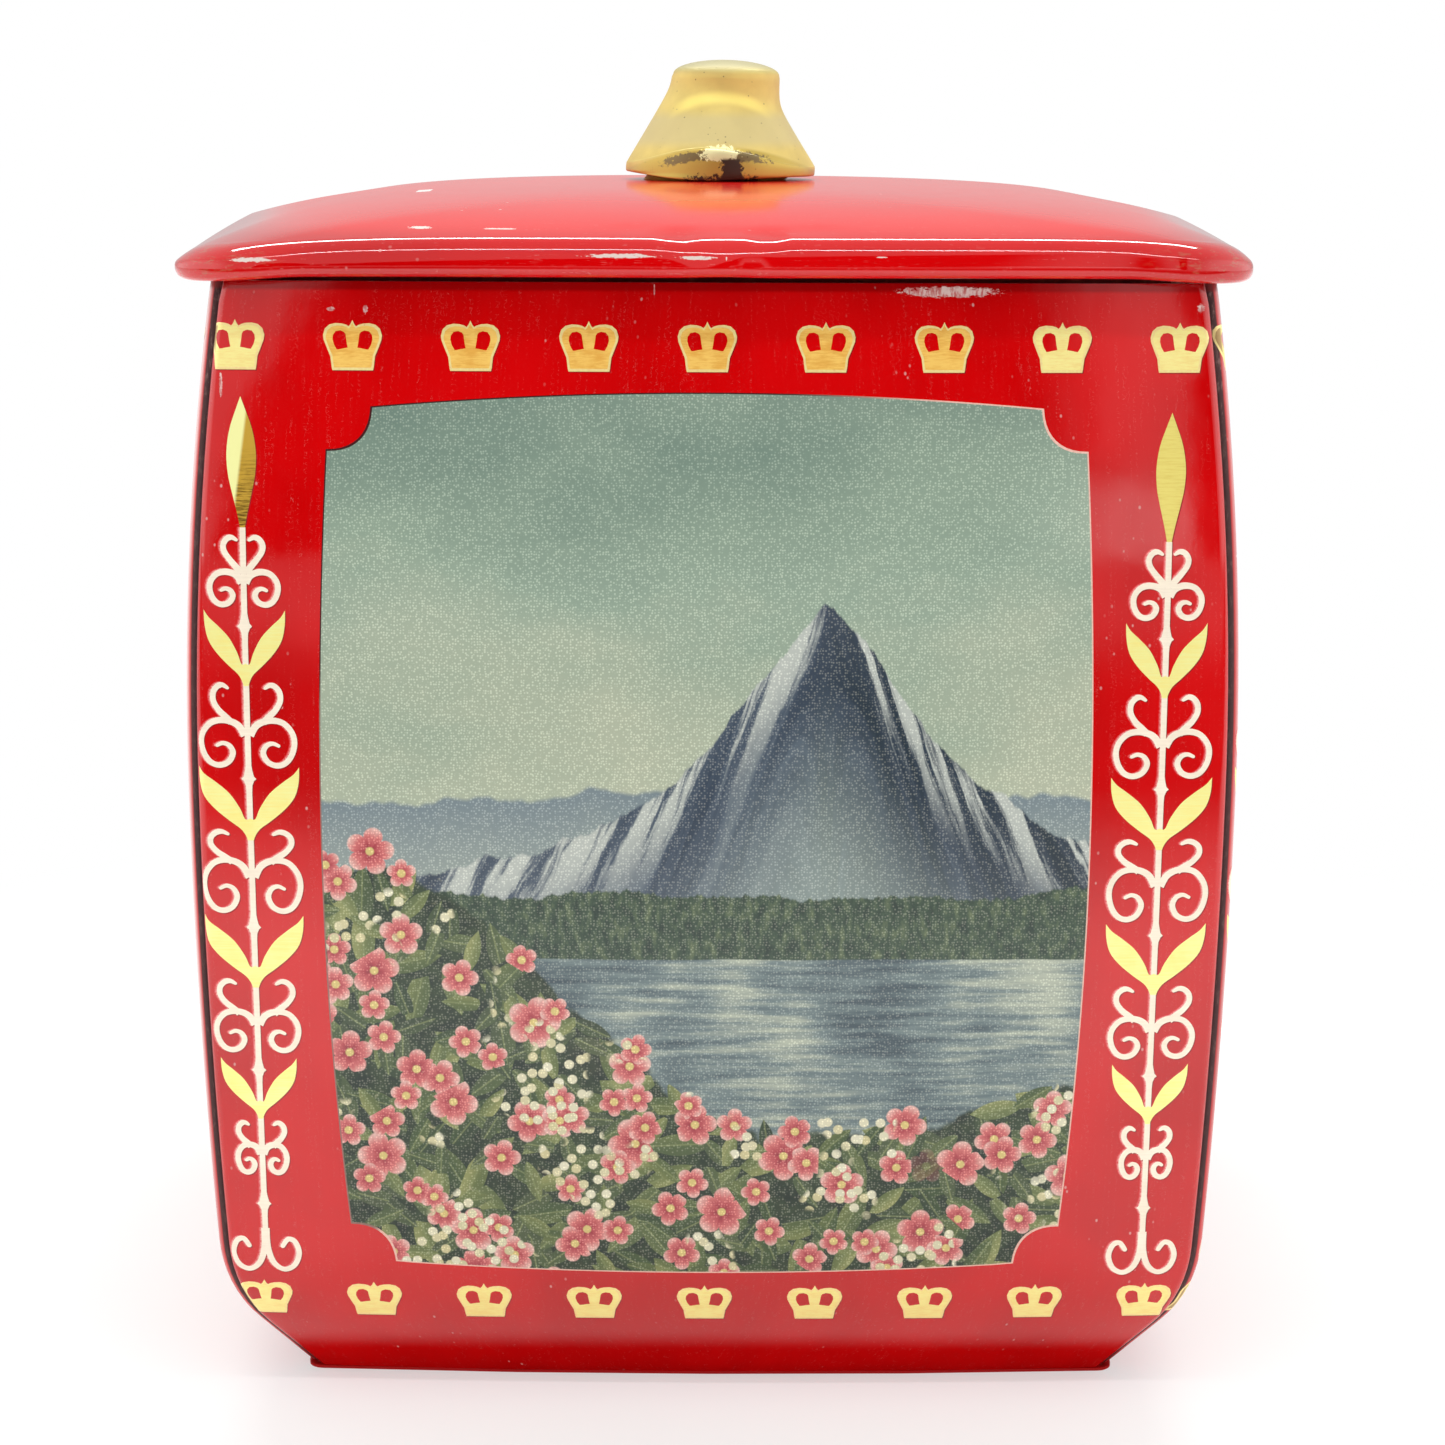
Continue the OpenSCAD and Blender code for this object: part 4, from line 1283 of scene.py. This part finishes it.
def knob_gold(finish):
    """Gold plate, dulled above, with painted reflections and highlights (a grey sky band, a bright band
    below the cap, a dark arc and a gleam at the lip's crease, a deeper lip), and worn through to dark metal
    in patches.
    """
    place = finish.object_place()
    across, _, up = finish.parts(place)
    aside = across - KNOB_SHIFT
    bow = aside * aside
    height = up - KNOB_Z
    ragged = finish.noise(place, 2.0, 6.0, 0.75)
    tarnish = finish.noise(place, 0.25, 4.0)
    under = CREASE_UP - CREASE_BOW * bow - height
    lip = under.rise(*LIP_RUN)
    shine = abs(height - SHINE_UP + SHINE_BOW * bow).rise(*SHINE_DEEP) * abs(aside).rise(*SHINE_ASIDE)
    gold = finish.blend(tarnish.rise(0.3, 0.7), GOLD_PLATE, GOLD_SHADE)
    # Painted reflection: a greyer band where the flare faces the sky
    gold = finish.blend(0.7 * abs(height - SKY_BAND_UP).rise(*SKY_BAND_DEEP), gold, GOLD_SKY_REFLECTION)
    # Painted highlight: a bright band below the cap, bowing down at the sides
    gold = finish.blend(0.8 * shine, gold, GOLD_SHINE)
    gold = finish.blend(height.rise(*DULL_UP), gold, GOLD_DULL)
    # Painted shade and reflection: the lip, facing the red lid, is painted a deeper gold
    gold = finish.blend(lip, gold, GOLD_LIP_PAINTED_SHADE)
    # Painted reflection: a ragged dark arc on the lip, where the dark room shows
    arc = abs(under - ARC_UNDER).rise(*ARC_DEEP) * abs(aside - ARC_MID).rise(*ARC_ASIDE)
    gold = finish.blend((0.35 * arc + ragged).rise(0.66, 0.71) * lip, gold, ARC_DARK_REFLECTION)
    # Painted highlight: a ragged gleam at the lip's crease
    gleam = (aside / GLEAM_HALF[0]) ** 2.0 + ((under - GLEAM_UNDER) / GLEAM_HALF[1]) ** 2.0
    gold = finish.blend((gleam + 5.0 * (ragged - 0.5)).rise(1.1, 0.8), gold, GOLD_GLEAM)
    foot = height.rise(*FOOT_WORN_UP) * abs(aside - FOOT_WORN_MID).rise(*FOOT_WORN_ASIDE)
    blot = ((aside - BLOT_MID) / BLOT_HALF) ** 2.0 + 4.5 * (ragged - 0.5)
    worn = (0.36 * foot + ragged).rise(0.8, 0.84).most(blot.rise(1.0, 0.75) * height.rise(*BLOT_UP))
    fleck = finish.cells(place, 1.6).rise(0.17, 0.1) * finish.noise(place, 0.5, 2.0).rise(0.56, 0.62)
    colour = finish.blend(worn.most(0.6 * fleck), gold, WORN_BRONZE)
    return {"Base Color": colour, "Roughness": 0.46 - 0.2 * lip + 0.1 * tarnish,
            "Metallic": 0.3 + 0.2 * lip - 0.3 * worn,
            "Normal": finish.bump(ragged - 0.35 * worn, 0.04, 0.22)}


# Landscape in the picture window, laid out in millimetres over the sheet
SKY_FOOT = 50.0
SKY_RUN = 70.0
FAR_HILLS_UP = 64.0
PEAK_U = 11.0
PEAK_FOOT = 52.0
PEAK_RISE = 31.0
PEAK_SPREAD = 13.0
WOODS_UP = 54.5
LAKE_UP = 48.0
BANK_UP = 30.0
BANK_CLIMB = 27.0
BANK_LEFT = (6.0, -34.0)
BANK_LIFT = 5.0
BANK_RIGHT = (18.0, 38.0)
SNOW = tone(206, 210, 202)
MIST = tone(166, 180, 172)
LEAF_RIB = tone(150, 158, 104)
BLOSSOM_HEART = tone(238, 212, 132)
SPRAY_PALE = tone(250, 244, 214)
SPRAY_DEEP = tone(226, 214, 160)
DOT_DARK = tone(56, 74, 66)
DOT_PALE = tone(240, 244, 220)
LEAF_SIZES = [(5.4, (3.1, 7.7, 0.0)), (4.4, (11.3, 2.9, 0.0)), (3.6, (6.2, 14.5, 0.0))]
BLOSSOM_SIZES = [(6.6, (1.7, 4.2, 0.0)), (4.8, (9.4, 6.1, 0.0))]


def bank_top(across):
    """Height of the flowering bank, which climbs to the left."""
    return BANK_UP + BANK_CLIMB * across.rise(*BANK_LEFT) + BANK_LIFT * across.rise(*BANK_RIGHT)


def hills(finish, place, across, up):
    """Sky, mountain, woods and lake."""
    def wander(scale, detail, offset):
        along = finish.spot(across + offset)
        return finish.noise(along, scale, detail, 0.6) - 0.5

    cloud = finish.streaks(place, (0.022, 0.04, 0.0), 5.0, 0.55)
    sky = finish.shades((up - SKY_FOOT) / SKY_RUN + 1.1 * (cloud - 0.5) + 0.1, (0.0, (218, 216, 190)),
                        (0.3, (196, 203, 178)), (0.6, (160, 180, 160)), (1.0, (118, 142, 130)))
    far = FAR_HILLS_UP + 10.0 * wander(0.05, 4.0, 40.0) - up
    colour = finish.blend(far.rise(-0.3, 0.3), sky,
                          finish.shades(far / 16.0, (0.0, (134, 148, 156)), (1.0, (192, 200, 182))))
    aside = across - PEAK_U
    peak = PEAK_RISE * (1.0 + (abs(aside) / PEAK_SPREAD) ** 1.6) ** -1.0
    drop = PEAK_FOOT + peak + 6.0 * wander(0.16, 6.0, 7.0) - up
    side = 2.0 * aside.rise(-5.0, 5.0) - 1.0
    slant = finish.spot(across - 0.6 * drop * side, 0.14 * drop)
    fold = finish.noise(slant, 0.2, 6.0, 0.6)
    rock = finish.shades(fold - 0.07 * side, (0.32, (38, 44, 62)), (0.47, (62, 70, 92)),
                         (0.58, (92, 102, 120)), (0.74, (146, 154, 158)))
    rock = finish.blend(drop.rise(9.0, 1.0) * fold.rise(0.47, 0.53), rock, SNOW)
    rock = finish.blend(0.75 * drop.rise(6.0, 30.0), rock, MIST)
    colour = finish.blend(drop.rise(-0.2, 0.2), colour, rock)
    hill = WOODS_UP + 6.0 * wander(0.045, 2.0, 90.0) + 1.8 * wander(0.9, 3.0, 3.0) - up
    wood = finish.streaks(place, (1.2, 0.5, 0.0), 4.0, 0.6)
    woods = finish.shades(wood, (0.34, (36, 50, 42)), (0.52, (64, 82, 62)), (0.7, (112, 124, 88)))
    colour = finish.blend(hill.rise(-0.1, 0.2), colour, woods)
    lake = LAKE_UP + 0.8 * wander(0.05, 3.0, 55.0) - up
    ripple = finish.streaks(place, (0.09, 1.1, 0.0), 4.0, 0.6)
    mirror = finish.streaks(place, (0.07, 0.03, 0.0), 2.0)
    water = finish.shades(0.5 * ripple + 0.55 * mirror, (0.4, (70, 84, 96)), (0.52, (124, 140, 142)),
                          (0.64, (198, 204, 184)))
    return finish.blend(lake.rise(-0.1, 0.1), colour, water)


def leaves(finish, place, colour):
    """Adds the leaves of the bank to a colour."""
    for size, shift in LEAF_SIZES:
        x, y, across, up, share, other = finish.scatter(place, size, shift)
        blade = 0.22 * size * (1.0 - (x / (0.66 * size)) ** 2.0)
        inside = (blade - abs(y)).rise(-0.04, 0.08) * (bank_top(across) - up).rise(-0.1, 0.1)
        green = finish.shades(0.75 * other + 0.25 * y.rise(-0.8, 0.8), (0.1, (34, 50, 34)),
                              (0.45, (66, 84, 44)), (0.75, (112, 122, 66)), (0.95, (158, 160, 98)))
        rib = abs(y).rise(0.12, 0.04) * 0.5 + 0.25 * share
        colour = finish.blend(inside, colour, finish.blend(rib, green, LEAF_RIB))
    return colour


def blossoms(finish, place, colour):
    """Adds the blossoms of the bank to a colour, five petals each."""
    for size, shift in BLOSSOM_SIZES:
        x, y, across, up, share, other = finish.scatter(place, size, shift)
        r = (x ** 2.0 + y ** 2.0) ** 0.5
        angle = 2.5 * y.maths("ARCTAN2", y, x)
        lobe = abs(angle.maths("COSINE", angle))
        depth = r / (size * (0.3 + 0.12 * share) * (0.6 + 0.4 * lobe ** 0.6))
        vein = finish.noise(finish.spot(3.0 * angle, 0.5 * r), 1.0, 2.0)
        petal = finish.shades(0.62 * depth + 0.22 * lobe + 0.3 * (vein - 0.5) + 0.12 * (other - 0.5),
                              (0.08, (132, 32, 50)), (0.36, (196, 66, 80)), (0.6, (228, 116, 116)),
                              (0.86, (250, 202, 190)))
        petal = finish.blend(r.rise(0.5, 0.32), petal, BLOSSOM_HEART)
        chosen = (bank_top(across) + 2.5 - up).rise(-0.1, 0.1) * other.rise(0.36, 0.37)
        colour = finish.blend(depth.rise(1.04, 0.95) * chosen, colour, petal)
    x, y, across, up, share, _ = finish.scatter(place, 1.5, (0.4, 0.9, 0.0))
    spray = (x ** 2.0 + y ** 2.0).rise(0.3, 0.16) * finish.noise(place, 0.1, 2.0).rise(0.53, 0.56)
    return finish.blend(spray * (bank_top(across) + 1.5 - up).rise(-0.1, 0.1), colour,
                        finish.blend(share, SPRAY_PALE, SPRAY_DEEP))


def picture(finish):
    across, up, _ = finish.parts(finish.sheet_place())
    place = finish.spot(across, up)
    earth = finish.noise(place, 0.5, 4.0)
    bank = bank_top(across) + 5.0 * (finish.noise(place, 0.22, 3.0) - 0.5) - up
    colour = finish.blend(bank.rise(-0.2, 0.6), hills(finish, place, across, up),
                          finish.shades(earth, (0.35, (22, 30, 22)), (0.65, (54, 66, 40))))
    colour = blossoms(finish, place, leaves(finish, place, colour))
    dots = finish.cells(place, 3.8, random=0.55).rise(0.15, 0.5)
    colour = finish.blend(0.3 * dots, colour, DOT_DARK)
    colour = finish.blend(0.16 * (1 - dots), colour, DOT_PALE)
    return {"Base Color": colour, "Roughness": 0.09 + 0.06 * finish.noise(place, 0.6, 3.0),
            "Normal": finish.bump(finish.noise(place, 0.16, 1.0), 0.05, 0.3)}


panel_finishes = {
    "lacquer": coated("panel_lacquer", panel_lacquer, ior=LACQUER_IOR),
    "gold_print": coated("gold_print", brushed(GOLD_PALE, GOLD_PRINT, 0.2), metallic=0.3),
    "gold_crown": coated("gold_crown", gold_crown, metallic=0.25),
    "gold_bud": coated("gold_bud", gold_bud, metallic=0.25),
    "bare_scroll": coated("bare_scroll", brushed(BARE_SCROLL, SCROLL_SHADE, 0.25), metallic=0.15),
    "halo": coated("scroll_halo", halo(HALO), ior=LACQUER_IOR),
    "halo_faint": coated("scroll_halo_faint", halo(HALO_FAINT), ior=LACQUER_IOR),
    "print_border": coated("print_border", grained(PRINT_BORDER, GOLD_PALE, 3.0, 2.0, None, 0.25, 0.1),
                           metallic=0.3),
    "print_line": coated("print_line", grained(PRINT_LINE, LACQUER_DEEP, 3.0, 2.0, None, 0.16, 0.1),
                         ior=LACQUER_IOR),
    "window_edge": coated("window_edge", window_edge),
    "picture": coated("window_picture", picture),
    "seam": coated("seam_lacquer", grained(GRIME, LACQUER_DEEP, 1.5, 4.0, (0.4, 0.7), 0.4, 0.3,
                                           Finish.object_place)),
    "inside": coated("inside_tin", tin_look, metallic=1.0)}
inside_tin = panel_finishes["inside"]
steel = coated("drawn_steel", steel_look, metallic=1.0)
lid_finishes = {"lid_lacquer": coated("lid_lacquer", lid_lacquer, ior=LACQUER_IOR), "inside": inside_tin}
knob_finishes = {"gold_plate": coated("gold_plate", knob_gold)}

# Pieces that stand for CAD nodes
sheet = printed_sheet()
for name, hooked, turn in (("front", False, 0), ("right", True, 1), ("back", False, 2), ("left", True, 3)):
    piece = panel(name + "_wall", hooked, turn * pi / 2, sheet, panel_finishes)
    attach(piece, "tin_body")
    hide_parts(name + "_panel")
lid = lid_shell(lid_finishes)
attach(lid, "lid")
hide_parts("lid_shell")
grip = knob(knob_finishes)
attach(grip, "lid")
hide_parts("knob")

# CAD nodes that stay, in better finishes
pan_tin = coated("pan_tin", pan_look)
# Painted shade: the collar is painted a dark red, for the shade and red reflections in the gap under the lid
collar_look = grained(COLLAR_SHADED_RED, COLLAR_BARE, 0.8, 4.0, (0.45, 0.8), 0.45, 0.2, Finish.object_place)
collar_tin = coated("collar_tin", collar_look, metallic=0.6)
for node, material in (("base_pan", pan_tin), ("neck_collar", collar_tin), ("body_hinge_leaf", inside_tin),
                       ("lid_hinge_leaf", inside_tin), ("knob_screw", steel), ("knob_washer", steel),
                       ("hinge_pin", steel)):
    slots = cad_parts[node].material_slots
    for k in range(len(slots)):
        slots[k].material = material

# Floor, light and camera
scene = bpy.context.scene
scene.view_settings.view_transform = "Standard"
FLOOR_HALF = 3.0
floor_mesh = bpy.data.meshes.new("studio_floor")
floor_corners = [(FLOOR_HALF * x, FLOOR_HALF * y, 0) for x, y in ((-1, -1), (1, -1), (1, 1), (-1, 1))]
floor_mesh.from_pydata(floor_corners, [], [(0, 1, 2, 3)])
floor = bpy.data.objects.new("studio_floor", floor_mesh)
scene.collection.objects.link(floor)

# In the tin's gloss the floor is painted dark: a painted shadow close under the tin, and a painted dark band
# farther out in front of it
UNDER_FROM = 45.5
UNDER_TO = 47.6
UNDER_BOW = 0.0011
OUT_DARK = (180.0, 330.0)
OUT_EASED = (500.0, 1100.0)
OUT_EASE = 0.45
FLOOR_PALE = (0.93, 0.93, 0.93)
FLOOR_WHITE = (0.96, 0.96, 0.96)
FLOOR_PAINTED_SHADE = (0.01, 0.01, 0.01)


def floor_look(finish):
    place = finish.object_place()
    grain = finish.noise(place, 0.02, 2.0)
    across, deep, _ = finish.parts(place)
    under = (abs(across).most(abs(deep)) + UNDER_BOW * across * across).rise(UNDER_TO, UNDER_FROM)
    out = 0.0 - deep
    dark = under.most(out.rise(*OUT_DARK) * (1 - OUT_EASE * out.rise(*OUT_EASED)))
    dark = dark * finish.ray("Glossy")
    pale = finish.blend(grain, FLOOR_PALE, FLOOR_WHITE)
    return {"Base Color": finish.blend(dark, pale, FLOOR_PAINTED_SHADE), "Roughness": 0.8 + 0.1 * grain}


# To the eye the floor pales into plain white away from the tin and its shadow
WHITE_NEAR = 0.45
WHITE_FROM = 60.0
WHITE_TO = 190.0
pale_floor = coated("pale_floor", floor_look)
floor_finish = Finish(pale_floor.node_tree)
floor_across, floor_deep, _ = floor_finish.parts(floor_finish.object_place())
floor_out = (floor_across ** 2.0 + floor_deep ** 2.0) ** 0.5
away = WHITE_NEAR + (1 - WHITE_NEAR) * floor_out.rise(WHITE_FROM, WHITE_TO)
plain_white = floor_finish.node("ShaderNodeEmission", (), {"Color": (1.0, 1.0, 1.0), "Strength": 1.0})
nodes = pale_floor.node_tree.nodes
floor_finish.feed(nodes["Material Output"].inputs["Surface"], floor_finish.node("ShaderNodeMixShader", (), {
    0: away * floor_finish.ray("Camera"),
    1: Wire(floor_finish, nodes["Principled BSDF"].outputs[0]), 2: plain_white}))
floor_mesh.materials.append(pale_floor)

# Surround: white to the eye, a plain light on the tin, and in its gloss a dark room behind the camera
SURROUND_LEVEL = 0.94
GLOSS_LEVEL = 0.62
# The room by direction: its slanted and bowed left side, its right side, a gap, and a strip beyond the gap
ROOM_SLANT = 0.08
ROOM_BOW = 0.7
ROOM_LEFT = (-0.2715, -0.2675)
ROOM_RIGHT = (0.24, 0.17)
STRIP_LEFT = (0.256, 0.262)
STRIP_RIGHT = (0.37, 0.33)
ROOM_AHEAD = (-0.2, -0.4)
ROOM_TOP = (0.93, 0.89)
# The gloss is brighter at the far sides and low down in the gap
SIDES = (0.5, 0.9)
GAP_LEFT = (0.15, 0.2)
GAP_TOP = (0.045, 0.025)
world = bpy.data.worlds.new("white_surround")
scene.world = world
world.use_nodes = True
surround = Finish(world.node_tree)
seen, glossy, through = [surround.ray(kind) for kind in ("Camera", "Glossy", "Transmission")]
across, ahead, up = surround.parts(surround.node("ShaderNodeTexCoord"))
slanted = across - ROOM_SLANT * up - ROOM_BOW * up * up
before = ahead.rise(*ROOM_AHEAD)
room = slanted.rise(*ROOM_LEFT) * across.rise(*ROOM_RIGHT)
room = room.most(across.rise(*STRIP_LEFT) * across.rise(*STRIP_RIGHT)) * before * up.rise(*ROOM_TOP)
sides = abs(across).rise(*SIDES) * (1 - room)
sides = sides + across.rise(*GAP_LEFT) * across.rise(*STRIP_LEFT[::-1]) * up.rise(*GAP_TOP) * before
plain = 1 - seen.most(glossy).most(through)
level = SURROUND_LEVEL * plain + seen.most(through) + glossy * (GLOSS_LEVEL * (1 - room) + sides)
backdrop = world.node_tree.nodes["Background"]
surround.feed(backdrop.inputs["Color"], (1.0, 1.0, 1.0))
surround.feed(backdrop.inputs["Strength"], level)


LAMP_AIM = Vector((0.0, 0.0, 0.06))


def soft_lamp(name, at, size, watts):
    light = bpy.data.lights.new(name, "AREA")
    light.shape = "RECTANGLE"
    light.size, light.size_y = size
    light.energy = watts
    lamp = bpy.data.objects.new(name, light)
    lamp.location = at
    lamp.rotation_euler = (LAMP_AIM - Vector(at)).to_track_quat("-Z", "Y").to_euler()
    scene.collection.objects.link(lamp)


soft_lamp("overhead_lamp", (0.0, 0.55, 0.95), (0.9, 0.1), 6.0)
soft_lamp("front_strip", (0.0, -0.39, 0.84), (1.1, 0.02), 2.0)

# Camera, in millimetres and pixels of the photograph
PHOTO_PX = 1445
LENS_PX = 2850.5
TIN_MID_PX = 712.35
CAMERA_AT = Vector((0.0, -319.95, 131.0))
CAMERA_PITCH = radians(12.468)
CAMERA_ROLL = radians(0.205)
SENSOR_MM = 36.0
camera_data = bpy.data.cameras.new("photo_camera")
camera_data.sensor_width = SENSOR_MM
camera_data.lens = LENS_PX * SENSOR_MM / PHOTO_PX
camera_data.shift_x = (PHOTO_PX / 2 - TIN_MID_PX) / PHOTO_PX
camera = bpy.data.objects.new("photo_camera", camera_data)
camera.matrix_world = (Matrix.Translation(CAMERA_AT * MM) @ Matrix.Rotation(pi / 2 - CAMERA_PITCH, 4, "X")
                       @ Matrix.Rotation(CAMERA_ROLL, 4, "Z"))
scene.collection.objects.link(camera)
scene.camera = camera
